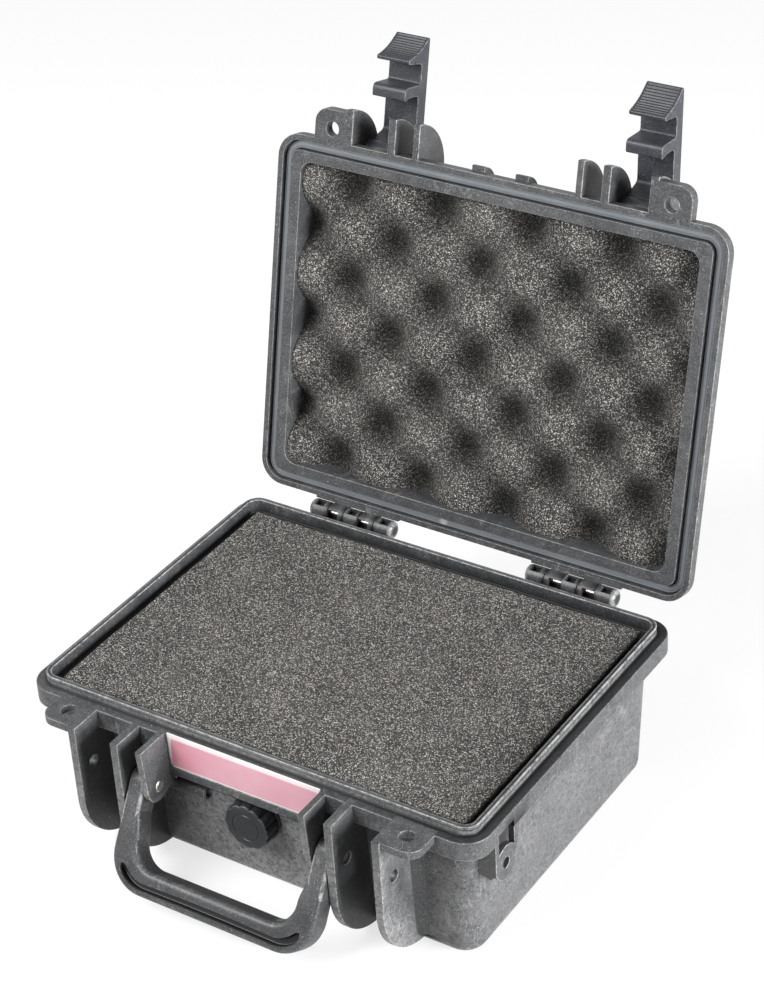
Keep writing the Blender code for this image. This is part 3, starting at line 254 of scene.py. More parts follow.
def block(top, floor, inset=0.0, levels=()):
    """A field of heights closed by a wall of some levels and a flat floor, drawn in a little."""
    rows, columns = top.shape[:2]
    number = np.arange(rows * columns).reshape(rows, columns)
    quads = np.stack([number[:-1, :-1], number[:-1, 1:], number[1:, 1:], number[1:, :-1]], -1)
    edge = np.concatenate([number[0, :-1], number[:-1, -1], number[-1, :0:-1], number[:0:-1, 0]])
    rim = top.reshape(-1, 3)[edge]
    walls = []
    for level in (*levels, floor):
        fall = (rim[:, 2].min() - level) / (rim[:, 2].min() - floor)
        wall = rim * (1, 1, 0) + (0, 0, level)
        wall[:, :2] -= np.sign(wall[:, :2]) * inset * fall * (np.abs(wall[:, :2]) > inset * 4)
        walls.append(wall)
    rings = [edge] + [rows * columns + np.arange(len(edge)) + i * len(edge)
                      for i in range(len(walls))]
    sides = [np.stack([a, b, np.roll(b, -1), np.roll(a, -1)], -1)
             for a, b in zip(rings, rings[1:])]
    corners = np.concatenate([quads.reshape(-1), np.stack(sides).reshape(-1), rings[-1][::-1]])
    counts = np.concatenate([np.full(quads[..., 0].size + len(edge) * len(walls), 4),
                             [len(edge)]])
    return Shell(np.concatenate([top.reshape(-1, 3), *walls]), corners, counts, 0.0)


def soften(stations, radii, steps=4, closed=False, way=-1):
    """Rounds the corners of a line: P becomes (1-s)^2 A + 2s(1-s) P + s^2 B.

    A and B lie a radius before and after P, measured on the first two numbers of a station;
    its other numbers go along. Wear is 4s(1-s), most at the middle of each rounding that bends
    the given way: -1 with the clock, 1 against it.
    """
    stations = np.asarray(stations, float)
    radii = np.broadcast_to(np.asarray(radii, float), stations.shape[:-1])[..., None]
    before, after = np.roll(stations, 1, -2), np.roll(stations, -1, -2)
    if not closed:
        before[..., 0, :], after[..., -1, :] = stations[..., 0, :], stations[..., -1, :]

    def towards(other):
        step = other - stations
        size = np.linalg.norm(step[..., :2], axis=-1, keepdims=True)
        return stations + step * radii / np.maximum(size, TINY)

    s = np.linspace(0, 1, steps + 1)[:, None]
    start, end = towards(before)[..., None, :], towards(after)[..., None, :]
    curve = (1 - s) ** 2 * start + 2 * s * (1 - s) * stations[..., None, :] + s ** 2 * end
    come, leave = stations - before, after - stations
    bend = come[..., 0] * leave[..., 1] - come[..., 1] * leave[..., 0]
    proud = (bend * way > 0)[..., None, None] & (radii[..., None, :] > 0.1)
    wear = np.broadcast_to(4 * s * (1 - s) * proud, curve.shape[:-1] + (1,))
    shape = stations.shape[:-2] + (-1,)
    return curve.reshape(shape + (stations.shape[-1],)), wear.reshape(shape)


def arc(centre, radius, first, last, steps=12):
    """Points centre + radius (cos a, sin a), a in degrees from first to last."""
    angle = np.radians(np.linspace(first, last, steps + 1))
    return np.stack([centre[0] + radius * np.cos(angle), centre[1] + radius * np.sin(angle)], -1)


def rim_rings(stations, skew=0.0, marks=(), flanks=()):
    """A rounded rectangle for each station (inset, height, corner), all with the same count.

    Each corner is centre + corner (cos a, sin a); the sides only join the corners. The front
    side also has a point at each mark, and the left and right sides have one at each flank, or
    as near to it as the corners let them.
    """
    inset, level, corner = (stations[:, i, None] for i in range(3))
    turn = np.linspace(0, math.pi / 2, 10)[None, :]
    across, along = corner * np.cos(turn), corner * np.sin(turn)
    x, y = RIM_X - inset - corner, RIM_Y - inset + np.reshape(skew, (-1, 1)) - corner
    front = np.broadcast_to(np.sort(np.asarray(marks, float)), (len(stations), len(marks)))
    apart = np.arange(1, len(flanks) + 1) * 0.02
    side = np.clip(np.sort(np.asarray(flanks, float)), apart - y, y - apart[::-1])
    xs = [x + across, -x - along, 0 * side - x - corner, -x - across, front, x + along,
          0 * side + x + corner]
    ys = [y + along, y + across, side[:, ::-1], -y - along, 0 * front - y - corner, -y - across,
          side]
    xs, ys = np.concatenate(xs, 1), np.concatenate(ys, 1)
    return np.stack([xs, ys, np.broadcast_to(level, xs.shape)], -1)


def drawn_in(outline, inset):
    """Each point moved along the sum of its two sides' normals by inset / (1 + their cosine)."""
    side = np.roll(outline, -1, 0) - outline
    side /= np.maximum(np.linalg.norm(side, axis=1, keepdims=True), TINY)
    normal = np.stack([-side[:, 1], side[:, 0]], -1)
    before = np.roll(normal, 1, 0)
    spread = 1 + (normal * before).sum(1, keepdims=True)
    return outline + inset * (normal + before) / np.maximum(spread, 0.5)


def anticlockwise(outline):
    """Whether an outline runs against the clock, by the sign of its area."""
    x, y = np.asarray(outline, float).T
    return (x * np.roll(y, -1) - y * np.roll(x, -1)).sum() > 0


def plate(outline, low, high, view="side", edge=0.0, holes=(), inner=None, margin=0.0):
    """An outline carried from low to high, with both rims rounded by a quarter circle.

    The inset is edge (1 - sin a) at the level edge (1 - cos a). Holes are outlines too. Past a
    margin the outline may change to an inner one with as many points, such as with grooves.
    """
    way = 1 if anticlockwise(outline) else -1
    outline = np.asarray(outline, float)[::way]
    angle = np.linspace(0, math.pi / 2, 4 if edge else 1)
    inset, rise = edge * (1 - np.sin(angle)) * (edge > 0), edge * (1 - np.cos(angle))
    levels = [(low + r, d, outline) for r, d in zip(rise, inset)]
    if inner is not None:
        inner = np.asarray(inner, float)[::way]
        levels += [(low + margin, 0, outline), (low + margin * 1.2, 0, inner),
                   (high - margin * 1.2, 0, inner), (high - margin, 0, outline)]
    levels += [(high - r, d, outline) for r, d in zip(rise[::-1], inset[::-1])]
    lines = [None] + [np.asarray(h, float)[::-1 if anticlockwise(h) else 1] for h in holes]
    points, corners, counts, wear, ends, total = [], [], [], [], [], 0
    for line in lines:
        for level, drawn, whole in levels:
            flat = whole if line is None else line
            flat = drawn_in(flat, drawn) if drawn else flat
            points.append(np.column_stack([flat, np.full(len(flat), level)]))
        numbers = total + np.arange(len(levels) * len(flat)).reshape(len(levels), -1)
        corners.append(bands(numbers))
        counts.append(np.full(numbers[1:].size, 4))
        wear.append(np.repeat([float(0.02 < d / edge < 0.9) if edge else 0.0
                               for _, d, _ in levels], len(flat)))
        ends.append((numbers[0], numbers[-1]))
        total += numbers.size
    points = np.concatenate(points)
    foot, head = (np.concatenate(rows) for rows in zip(*ends))
    flat = points * (1, 1, 0)
    fans = np.array(tessellate_polygon([flat[row].tolist() for row, _ in ends]))
    a, b, c = (points[foot[fans[:, k]]][:, :2] for k in range(3))
    back = np.cross(b - a, c - a)[:, None] < 0
    fans = np.where(back, fans[:, ::-1], fans)
    corners += [foot[fans[:, ::-1]].reshape(-1), head[fans].reshape(-1)]
    counts.append(np.full(len(fans) * 2, 3))
    order = {"side": (2, 0, 1), "front": (0, 2, 1), "top": (0, 1, 2)}[view]
    return Shell(points[:, order], np.concatenate(corners), np.concatenate(counts),
                 np.concatenate(wear))


def faces(pair, side):
    """The low and high x of a piece between two |x| faces."""
    return sorted(side * face for face in pair)


def circle(centre, radius, steps=24):
    """Points centre + radius (cos a, sin a) all the way round."""
    return arc(centre, radius, 0, 360, steps)[:-1]


def box(low, high, edge=0.0):
    """A box between two corners, with every edge rounded."""
    (x0, y0, z0), (x1, y1, z1) = low, high
    line, _ = soften([(y0, z0), (y1, z0), (y1, z1), (y0, z1)], max(edge, 0.05), 3, closed=True)
    return plate(line, x0, x1, "side", edge)


def lathe(profile, centre, axis="x", around=32, swell=None):
    """A profile of (place along the axis, radius) turned round it, closed by small flat ends.

    Point = centre + radius (cos a, sin a) across the axis; swell(a) scales the radius.
    """
    profile = np.asarray(profile, float)
    angle = np.linspace(0, 2 * math.pi, around, endpoint=False)[None, :]
    place, radius = profile[:, 0, None], profile[:, 1, None]
    radius = radius * (1 if swell is None else swell(angle))
    p, q = centre[0] + radius * np.cos(angle), centre[1] + radius * np.sin(angle)
    along = np.broadcast_to(place, p.shape)
    return np.stack([along, p, q] if axis == "x" else [p, along, q], -1)


def hung(pivot, angle=0.0):
    """The matrix that turns a shape drawn about the origin and takes it to a pivot (y, z)."""
    return Matrix.Translation((0, *pivot)) @ Matrix.Rotation(angle, 4, "X")


def looking(place, back, roll=0.0):
    """The matrix of a lamp or camera whose own Z is the unit vector back, rolled about it."""
    right = np.cross((0, 0, 1), back)
    right /= np.linalg.norm(right)
    up = np.cross(back, right)
    across = right * math.cos(roll) + up * math.sin(roll)
    above = up * math.cos(roll) - right * math.sin(roll)
    turn = Matrix(np.stack([across, above, back], -1).tolist())
    return Matrix.Translation(place) @ turn.to_4x4()


LID_TURN = hung(HINGE, -OPEN) @ hung(HINGE).inverted()


# ---------------------------------------------------------------- materials


class Value:
    """A shader socket on which Python's operators add Math nodes."""

    def __init__(self, finish, socket):
        self.finish, self.socket = finish, socket

    def math(self, operation, *others):
        return self.finish.node("ShaderNodeMath", {"operation": operation},
                                dict(enumerate((self, *others))))

    def __add__(self, other):
        return self.math("ADD", other)

    def __sub__(self, other):
        return self.math("SUBTRACT", other)

    def __rsub__(self, other):
        return self.finish.node("ShaderNodeMath", {"operation": "SUBTRACT"}, {0: other, 1: self})

    def __mul__(self, other):
        return self.math("MULTIPLY", other)

    __radd__, __rmul__ = __add__, __mul__

    def __pow__(self, other):
        return self.math("POWER", other)

    def above(self, low, high):
        """0 below low, 1 above high, and a smooth step between them."""
        inputs = {"Value": self, "From Min": low, "From Max": high}
        return self.finish.node("ShaderNodeMapRange", {"interpolation_type": "SMOOTHSTEP"}, inputs)


class Finish:
    """A material, or the nodes of another owner, and the ways that nodes enter it."""

    def __init__(self, name="", owner=None):
        self.material = owner or bpy.data.materials.new(name)
        self.material.use_nodes = True
        self.tree = self.material.node_tree
        self.shader = self.tree.nodes.get("Principled BSDF")

    def node(self, kind, settings=None, inputs=None, output=0):
        """Any node: settings are set first, then its sockets get values or links."""
        made = self.tree.nodes.new(kind)
        for key, value in (settings or {}).items():
            setattr(made, key, value)
        for key, value in (inputs or {}).items():
            self.feed(made.inputs[key], value)
        return Value(self, made.outputs[output])

    def feed(self, socket, value):
        """Links a value to a socket, or sets it, with an alpha of 1 where a colour lacks one."""
        if isinstance(value, Value):
            self.tree.links.new(value.socket, socket)
        else:
            if hasattr(socket.default_value, "__len__") and len(value) < len(socket.default_value):
                value = (*value, 1)
            socket.default_value = value

    def coordinates(self, turn=(0, 0, 0), scale=(1, 1, 1)):
        """Object coordinates, turned and stretched."""
        place = self.node("ShaderNodeTexCoord", output="Object")
        return self.node("ShaderNodeMapping", None,
                         {"Vector": place, "Rotation": turn, "Scale": scale})

    def noise(self, where, scale, detail=2.0, rough=0.5, warp=0.0):
        """Noise from 0 to 1; scale is waves per metre."""
        return self.node("ShaderNodeTexNoise", None, {
            "Vector": where, "Scale": scale, "Detail": detail, "Roughness": rough,
            "Distortion": warp})

    def cells(self, where, scale, output="Distance"):
        """Voronoi cells; scale is cells per metre."""
        return self.node("ShaderNodeTexVoronoi", None, {"Vector": where, "Scale": scale},
                         output=output)

    def mix(self, factor, one, other):
        """A colour between two."""
        made = self.tree.nodes.new("ShaderNodeMix")
        made.data_type = "RGBA"
        for number, value in ((0, factor), (6, one), (7, other)):
            self.feed(made.inputs[number], value)
        return Value(self, made.outputs[2])

    def attribute(self, name):
        """A number stored on the mesh's points."""
        return self.node("ShaderNodeAttribute", {"attribute_name": name}, output="Fac")

    def bump(self, height, strength, distance):
        """A bump from a height of 0 to 1 over a distance in millimetres."""
        return self.node("ShaderNodeBump", None,
                         {"Height": height, "Strength": strength, "Distance": distance * MM})

    def seen(self):
        """1 on camera, glossy and transmission rays, and 0 on all others."""
        rays = [self.node("ShaderNodeLightPath", output=f"Is {kind} Ray")
                for kind in ("Camera", "Glossy", "Transmission")]
        return rays[0].math("MAXIMUM", rays[1]).math("MAXIMUM", rays[2])

    def finish(self, **sockets):
        """Feeds the Principled sockets, named with spaces as underscores."""
        for key, value in sockets.items():
            self.feed(self.shader.inputs[key.replace("_", " ")], value)
        return self.material


def tinted(colour, *shares):
    """A colour with its numbers scaled, all alike or each by its own share."""
    return tuple(np.array(colour) * shares)


def moulded_plastic(name, body, worn, dust, rough=0.38, streaks=1.0):
    """Moulded plastic: a fine grain, slow mottling, dust specks, scuffs and rubbed edges.

    The scuffs are thin bands where a bent noise crosses 0.5, kept only in some patches. Below 0,
    the per-point number darkens the plastic: painted shade in corners, grooves, gaps and recesses,
    and a plain darker tone on the handle and along the base's ledge. Above 0 it adds worn pale
    edges and painted light on some lit faces.
    """
    f = Finish(name)
    place = f.coordinates()
    slow = f.noise(place, 34, 4, 0.62, 0.5)
    cloud = f.noise(place, 130, 3, 0.6)
    grain = f.noise(place, 1300, 2, 0.7)
    specks = f.noise(place, 800, 2, 0.5).above(0.68, 0.74)
    bands = []
    for turn, stretch in (((0.9, 0.5, 0.7), (1, 0.13, 1)), ((2.3, 0.8, 1.2), (1, 1, 0.16))):
        bent = f.noise(f.coordinates(turn, stretch), 105, 2, 0.5, 0.8)
        bands.append(1 - (bent - 0.5).math("ABSOLUTE").above(0.004, 0.016))
    some = f.noise(place, 62, 2, 0.5).above(0.52, 0.66)
    scuffs = bands[0].math("MAXIMUM", bands[1]) * some
    wear = f.attribute("wear")
    # Worn pale edges together with painted light on lit faces, from the number above 0
    rubbed_and_painted_light = wear.math("MAXIMUM", 0.0) * f.noise(place, 420, 3, 0.7).above(0.30, 0.62)
    # Painted shade in corners, grooves and gaps, and a darker tone on the handle, from the number
    # below 0
    painted_shade_and_dark_tone = (wear * -1.0).math("MAXIMUM", 0.0)
    patches = slow.above(0.38, 0.70)
    amount = patches * 0.07 + cloud.above(0.35, 0.75) * 0.08 + grain.above(0.44, 0.72) * 0.30
    amount = (amount + scuffs * (0.26 * streaks) + specks * 0.75 + rubbed_and_painted_light * 0.95) * dust
    amount = amount * (1 - painted_shade_and_dark_tone * 0.9)
    # A shaded copy of the body colour that carries the painted shade
    base = f.mix(painted_shade_and_dark_tone * 0.85, body, tinted(body, 0.22))
    return f.finish(Base_Color=f.mix(amount, base, worn), Specular_IOR_Level=0.3,
                    Roughness=rough + patches * 0.10 + scuffs * 0.10 - rubbed_and_painted_light * 0.06,
                    Normal=f.bump(grain * 0.6 + cloud * 0.4, 0.35, 0.12))


def open_foam(name, body, speck):
    """Charcoal foam: cells with a random brightness, dark pores, and shadow towards the pits."""
    f = Finish(name)
    place = f.coordinates()
    bright = f.node("ShaderNodeSeparateColor", None, {"Color": f.cells(place, 2100, "Color")})
    pores = f.cells(place, 2000)
    slow = f.noise(place, 24, 3, 0.5)
    grit = f.noise(place, 2300, 2, 0.8)
    pit = f.attribute("pit")
    amount = bright ** 6 + grit.above(0.52, 0.72) * 0.18 + slow.above(0.35, 0.75) * 0.04
    amount = amount * (1 - pit * 0.85)
    base = f.mix(pit, body, tinted(body, 0.2))
    return f.finish(Base_Color=f.mix(amount, base, speck), Roughness=0.95,
                    Specular_IOR_Level=0.25, Normal=f.bump(pores * 0.7 + grit * 0.5, 0.9, 0.55))


def seal_rubber(name, body, joint):
    """Satin rubber with faint drawn lines and a pale spot where the ring is joined."""
    f = Finish(name)
    place = f.coordinates()
    slow = f.noise(place, 60, 3, 0.5)
    grain = f.noise(place, 1800, 2, 0.5)
    away = f.node("ShaderNodeVectorMath", {"operation": "DISTANCE"}, {0: place, 1: joint}, "Value")
    spot = 1 - away.above(1.0 * MM, 3.4 * MM)
    worn = (0.30, 0.31, 0.32)
    return f.finish(
        Base_Color=f.mix(slow.above(0.35, 0.8) * 0.10 + spot * 0.75, body, worn),
        Roughness=0.40 + grain * 0.12, Normal=f.bump(grain, 0.15, 0.05))


def label_plate(name, body, edge):
    """A bare plate: pink field that fades to a pale border, with a light film over it."""
    f = Finish(name)
    place = f.coordinates()
    along, up = (f.node("ShaderNodeSeparateXYZ", None, {"Vector": place}, axis) for axis in "XZ")
    left = 1 - (along - up * 0.062).above(-49.2 * MM, -48.6 * MM)
    border = up.above(80.6 * MM, 82.2 * MM).math("MAXIMUM", 1 - up.above(64.1 * MM, 64.6 * MM))
    border = border.math("MAXIMUM", left)
    film = f.noise(place, 55, 2, 0.5).above(0.3, 0.8)
    deep = tinted(body, 0.94, 0.70, 0.76)
    field = f.mix(1 - along.above(-45 * MM, -14 * MM), body, deep)
    return f.finish(
        Base_Color=f.mix((border * 0.85 + film * 0.14).math("MINIMUM", 1.0), field, edge),
        Roughness=0.34 + film * 0.12, Coat_Weight=0.25, Coat_Roughness=0.2,
        Normal=f.bump(f.noise(place, 900, 2, 0.5), 0.05, 0.05))


def bare_steel(name, body):
    """Drawn steel: fine rings across the pin and a slightly uneven sheen."""
    f = Finish(name)
    rings = f.noise(f.coordinates((0, 0, 0), (1, 0.05, 0.05)), 3000, 2, 0.6)
    patches = f.noise(f.coordinates(), 320, 3, 0.6)
    return f.finish(Base_Color=f.mix(patches * 0.5, body, (0.42, 0.36, 0.27)), Metallic=1.0,
                    Roughness=0.24 + rings * 0.18, Normal=f.bump(rings, 0.2, 0.03))


FINISHES = {}


def finishes(c):
    """Every finish of the case in the given colours, made once."""
    if not FINISHES:
        dust = c.dust
        joint = LID_TURN @ Vector((-15, RIM_Y - 5.9, MATE + 3)) * MM
        FINISHES.update(
            case_plastic=moulded_plastic("case_plastic_moulded", c.plastic, c.plastic_worn, dust),
            latch_plastic=moulded_plastic("latch_plastic_moulded", c.latch, c.plastic_worn,
                                          dust * 0.55, 0.40, 0.4),
            knob_plastic=moulded_plastic("knob_plastic_gloss", c.knob, c.plastic_worn,
                                         dust * 0.25, 0.32, 0.4),
            seal_rubber=seal_rubber("seal_rubber_satin", c.seal, joint),
            foam=open_foam("foam_open_cell", c.foam, c.foam_speck),
            plate=label_plate("plate_bare", c.plate, c.plate_edge),
            pin_steel=bare_steel("pin_steel_drawn", c.steel))
    return FINISHES


# ---------------------------------------------------------------- pieces


def measures(group):
    """The settings as plain numbers, with every length in millimetres."""
    kinds = group.bl_rna.properties
    values = {name: getattr(group, name) for name in group.__annotations__}
    return SimpleNamespace(**{name: value / MM if kinds[name].unit == "LENGTH" else value
                              for name, value in values.items()})


def add_piece(context, name, shells, slot, body, node, pit=None):
    """Puts shells into one mesh, gives it its finish and seats it on its body."""
    offset = np.cumsum([0] + [len(s.points) for s in shells])
    points = np.concatenate([s.points for s in shells]) * MM
    corners = np.concatenate([s.corners + o for s, o in zip(shells, offset)])
    counts = np.concatenate([s.counts for s in shells])
    mesh = bpy.data.meshes.new(name)
    mesh.vertices.add(len(points))
    mesh.vertices.foreach_set("co", points.astype(np.float32).reshape(-1))
    mesh.loops.add(len(corners))
    mesh.loops.foreach_set("vertex_index", corners.astype(np.int32))
    mesh.polygons.add(len(counts))
    mesh.polygons.foreach_set("loop_start", (np.cumsum(counts) - counts).astype(np.int32))
    mesh.update(calc_edges=True)
    # The stored number carries worn edges, painted light (above 0) and painted shade (below 0)
    for label, values in (("wear", np.concatenate([s.wear for s in shells])), ("pit", pit)):
        if values is not None:
            store = mesh.attributes.new(label, "FLOAT", "POINT")
            store.data.foreach_set("value", np.asarray(values, np.float32))
    mesh.shade_smooth()
    mesh.set_sharp_from_angle(angle=SHARP)
    mesh.materials.append(finishes(context.scene.case_colours)[slot])
    made = bpy.data.objects.new(name, mesh)
    context.scene.collection.objects.link(made)
    weld = made.modifiers.new("one_skin", "WELD")
    weld.merge_threshold = 1e-6
    weigh = made.modifiers.new("even_shading", "WEIGHTED_NORMAL")
    weigh.keep_sharp = True
    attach(made, body)
    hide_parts(node)
    slot == "foam"


def base_walls(sizes):
    """The base's cup: one section from the underside up the wall, over the rim and its sealing
    tongue, and down inside to the floor, carried round a rounded rectangle.

    A station is (inset, height, corner, skew, tint); its last number below 0 is painted shade
    under the rim, at the tongue's foot, in the tongue's grooves and in the cavity, and above 0 it
    is painted light on the walls and on the tongue's faces.
    """
    top, tongue, s = RIM_TOP, 89.3, FOOT_SKEW
    wall = {z: FOOT_INSET - DRAFT * z for z in (0, 40, 55, 78.5)}
    # Each station's last number: painted light above 0, painted shade below 0
    stations = np.array([
        (34, 0, 4, s, 0), *((wall[z], z, 11, s, 0.2) for z in (0, 40, 55)),
        (wall[78.5], 78.5, 11, s, -0.5), (3, 78.5, 11, 0, -0.5), (3, 73.5, 11, 0, 0),
        (0, 73.5, 14, 0, 0), (0, top, 14, 0, 0), (3.6, top, 10.4, 0, 0), (5.7, top, 8.5, 0, -1),
        (5.7, 85.3, 8.5, 0, 0.4), (5.7, 86.9, 8.5, 0, 0.4), (6.0, 87.05, 8.2, 0, -1),
        (6.0, 87.4, 8.2, 0, -1), (5.7, 87.55, 8.5, 0, 0.4), (5.7, tongue, 8.5, 0, 0.4),
        (6.7, tongue, 7.5, 0, 0.2), (6.9, tongue - 0.4, 7.3, 0, -1),
        (7.25, tongue - 0.4, 7.0, 0, -1), (7.45, tongue, 6.8, 0, 0.2),
        (8.45, tongue, 5.75, 0, 0.2), (8.45, CAVITY_TOP[1], 5.75, 0, -1),
        (*CAVITY_TOP, 7.8, 0, -1), (*CAVITY_FLOOR, 7.8, 0, 0), (44, CAVITY_FLOOR[1], 7.8, 0, 0)])
    radii = [0, FOOT_ROUND, 0, 0, 1.6, 0.6, 0.5, 0.6, sizes.rim_round, 0.1, 0.3, 0.1, 0.05, 0.05,
             0.05, 0.05, 0.45, 0.1, 0.1, 0.1, 0.1, 0.5, 0.3, 0.4, 3, 0]
    line, wear = soften(stations, radii)
    front, back, slot_top = STRAP_SLOT
    marks = [-BAY, -BAY + HAIR, BAY - HAIR, BAY]
    shade = [-79, -71, -60, -51]
    flanks = [front, front + HAIR, back - HAIR, back, *shade]
    rings = rim_rings(line[:, :3], line[:, 3], marks, flanks)
    x, y, z = (rings[..., i] for i in range(3))
    recess = PANEL_FRONT + PANEL_THICK
    in_bay = (np.abs(x) < BAY - HAIR / 2) & (y < recess)
    in_slot = (np.abs(x) > RIM_X - 3.3) & (z > 70) & (z < slot_top) \
        & (y > front + HAIR / 2) & (y < back - HAIR / 2)
    rings[..., 1] = np.where(in_bay, recess, y)
    rings[..., 2] = np.where(in_slot, slot_top, z)
    wear = wear * np.interp(line[:, 1], [6, 8, 76, 82, 84.35, 84.4], [0.25, 1, 1, 0.3, 0.3, 1])
    shell = skin(rings, wear + line[:, 4])
    ledge = np.abs(z - top) < 0.1
    right = np.clip((x - 60) / 50, 0, 1)
    behind = (np.abs(x) > RIM_X - 16) & (z > 50) & (z < 80) \
        & (y > shade[0] + HAIR) & (y < shade[3] - HAIR)
    front_wall = (np.abs(x) < BAY) & (y < -88) & (z < 78)
    # Painted light lifts the recessed front wall under the rim, painted shade darkens the wall
    # behind each strap lug, and the ledge is made darker, more so towards the right
    painted_light_and_shade = front_wall * 0.35 - ledge * (0.18 + 0.65 * right) - behind * 1.3
    shell.wear = shell.wear + painted_light_and_shade.reshape(-1)
    return shell


def front_panel():
    """The panel between the inner ribs: a frame open at the top, its back and its cheeks."""
    outline = [(-47.2, 58), (47.2, 58), (47.2, 84.3), (46.5, 84.3), (45.2, 63.3),
               (-45.2, 63.3), (-46.5, 84.3), (-47.2, 84.3)]
    line, _ = soften(outline, [0, 0, 0, 0, 2.8, 2.8, 0, 0], 5, closed=True)
    back = [(-46.9, 58), (46.9, 58), (46.9, 83.6), (-46.9, 83.6)]
    return [plate(line, PANEL_FRONT, PANEL_FRONT + PANEL_THICK, "front", 0.3),
            plate(back, PANEL_FRONT + 1.15, PANEL_FRONT + 3, "front"),
            *(box((low, -98, 55.5), (low + 3.4, -84, 83.8), 0.3) for low in (-47.2, 43.8))]


def drain_boss():
    """The small hollow boss beside the left inner rib: a section turned round an X axis."""
    profile = [(-50, 3.8), (-30.3, 3.8), (-29.6, 3.3), (-29.6, 2.3), (-29.8, 1.9), (-35, 1.9),
               (-35, 0.1)]
    line, wear = soften(profile, 0.15, 2)
    return skin(lathe(line, (-91.2, 46.5), "x", 28), wear)


def ribs(side, sizes):
    """The ribs of one side, made pale along the front by painted light and worn edges, apart from
    the hole for the pin, and darkened on most flat sides by painted shade.

    Two of them run down to the foot along a circle, and the inner one ends in a round lobe.
    """
    sweep = [*arc((RIB_FRONT + SWEEP, SWEEP_LOW + SWEEP), SWEEP, 180, 266, 22), (-81.6, 4.5)]
    lobe = [*arc(PIN, 8.8, 182, 300, 14), (-84.8, 55.0)]
    for name, foot in (("outer", sweep), ("middle", sweep), ("inner", lobe)):
        shell = plate([*RIB_HEAD, *foot], *faces(RIBS[name], side), "side", sizes.rib_round,
                      [circle(PIN, PIN_BORE)])
        x, y, z = shell.points.T
        front = (z < 84) & (y < -92) & (np.hypot(y - PIN[0], z - PIN[1]) > 4)
        flat = (np.isclose(x, x.min()) | np.isclose(x, x.max())) & (x < 92)
        # Painted light along the fronts, painted shade on the flat sides between the ribs
        shell.wear = shell.wear * 0.5 + front * 0.45 - flat * 0.35
        yield shell


def rib_web(side):
    """The hollow fillet beside an outer rib: sections whose reach falls as 9 (1 - sin a) mm.

    Its outer line follows the rib's sweep, and its inner line the wall and the wall's foot.
    """
    turn = np.linspace(0, math.pi / 2, 19)
    reach = 9.0 * (1 - np.sin(turn)) + 0.05
    x = side * (91.5 + 10.5 * (1 - np.cos(turn)))
    wall = -(WALL_FOOT + DRAFT * PIN[1])
    sweep = SWEEP - (wall - reach - RIB_FRONT)
    low = SWEEP_LOW + SWEEP - np.sqrt(SWEEP ** 2 - sweep ** 2) + 1.5
    top = 80.0
    high, back = np.full_like(low, top), np.full_like(low, -84.9)
    drawn = FOOT_ROUND - np.sqrt(FOOT_ROUND ** 2 - np.clip(FOOT_ROUND - low, 0, None) ** 2)
    wall_low, wall_high = 1.2 * drawn - (WALL_FOOT + DRAFT * low), -(WALL_FOOT + DRAFT * top)
    y = np.stack([back, wall_high - reach, wall_low - reach, wall_low - reach * 0.4, back], 1)
    z = np.stack([high, high, low + reach, low, low], 1)
    line, _ = soften(np.stack([y, z], -1), [0.2, 0.2, 3.0, 2.0, 0.2], 4, closed=True)
    xs = np.broadcast_to(x[:, None, None], line.shape[:-1] + (1,))
    # Painted shade in the hollow fillet: darkest beside the rib, fading out towards the wall
    return skin(np.concatenate([xs, line], -1), -0.8 * np.cos(turn))


def padlock_lug(side, low, high, root, sizes):
    """A tongue beside an outer rib, with one round corner and a round hole, out of a rim."""
    x, y, radius = LUG_HOLE
    outer = RIBS["outer"][1]
    corner = arc((LUG_SIDE - LUG_CORNER, LUG_FRONT + LUG_CORNER), LUG_CORNER, 270, 360, 10)
    line = np.array([(outer - 1.3, root), (outer - 1.3, LUG_FRONT), *corner, (LUG_SIDE, root)])
    shell = plate(line * (side, 1), low, high, "top", sizes.rib_round,
                  [circle((side * x, y), radius, 28)])
    shell.wear = shell.wear * (np.abs(shell.points[:, 0]) > outer) * 0.4
    return shell


def strap_lug(side):
    """A strap lug's plate, with a slot that is square above and arched below, and a small hole,
    and the web that carries it."""
    line = [(-61.5, 80), (-83.9, 80), (-83.9, 54.3), *arc(STRAP_HOLE, 9.2, 222, 352, 18),
            (-61.5, 70.5)]
    front, back, top = STRAP_SLOT
    low, high = (math.degrees(math.asin(abs(y - STRAP_HOLE[0]) / 10)) for y in (front, back))
    slot = [(back, top), (front, top), *arc(STRAP_HOLE, 10, 90 + low, 90 - high, 12)]
    web = np.array([(121.5, 80), (134.6, 80), (134.6, 54.3), (131.1, 51.3), (121.5, 54.6),
                    (120.4, 60.3)]) * (side, 1)
    return [plate(line, *faces((131.4, 134.9), side), "side", 0.4, [slot, circle(STRAP_HOLE, 3)]),
            plate(web, -83.8, -80.9, "front", 0.3)]


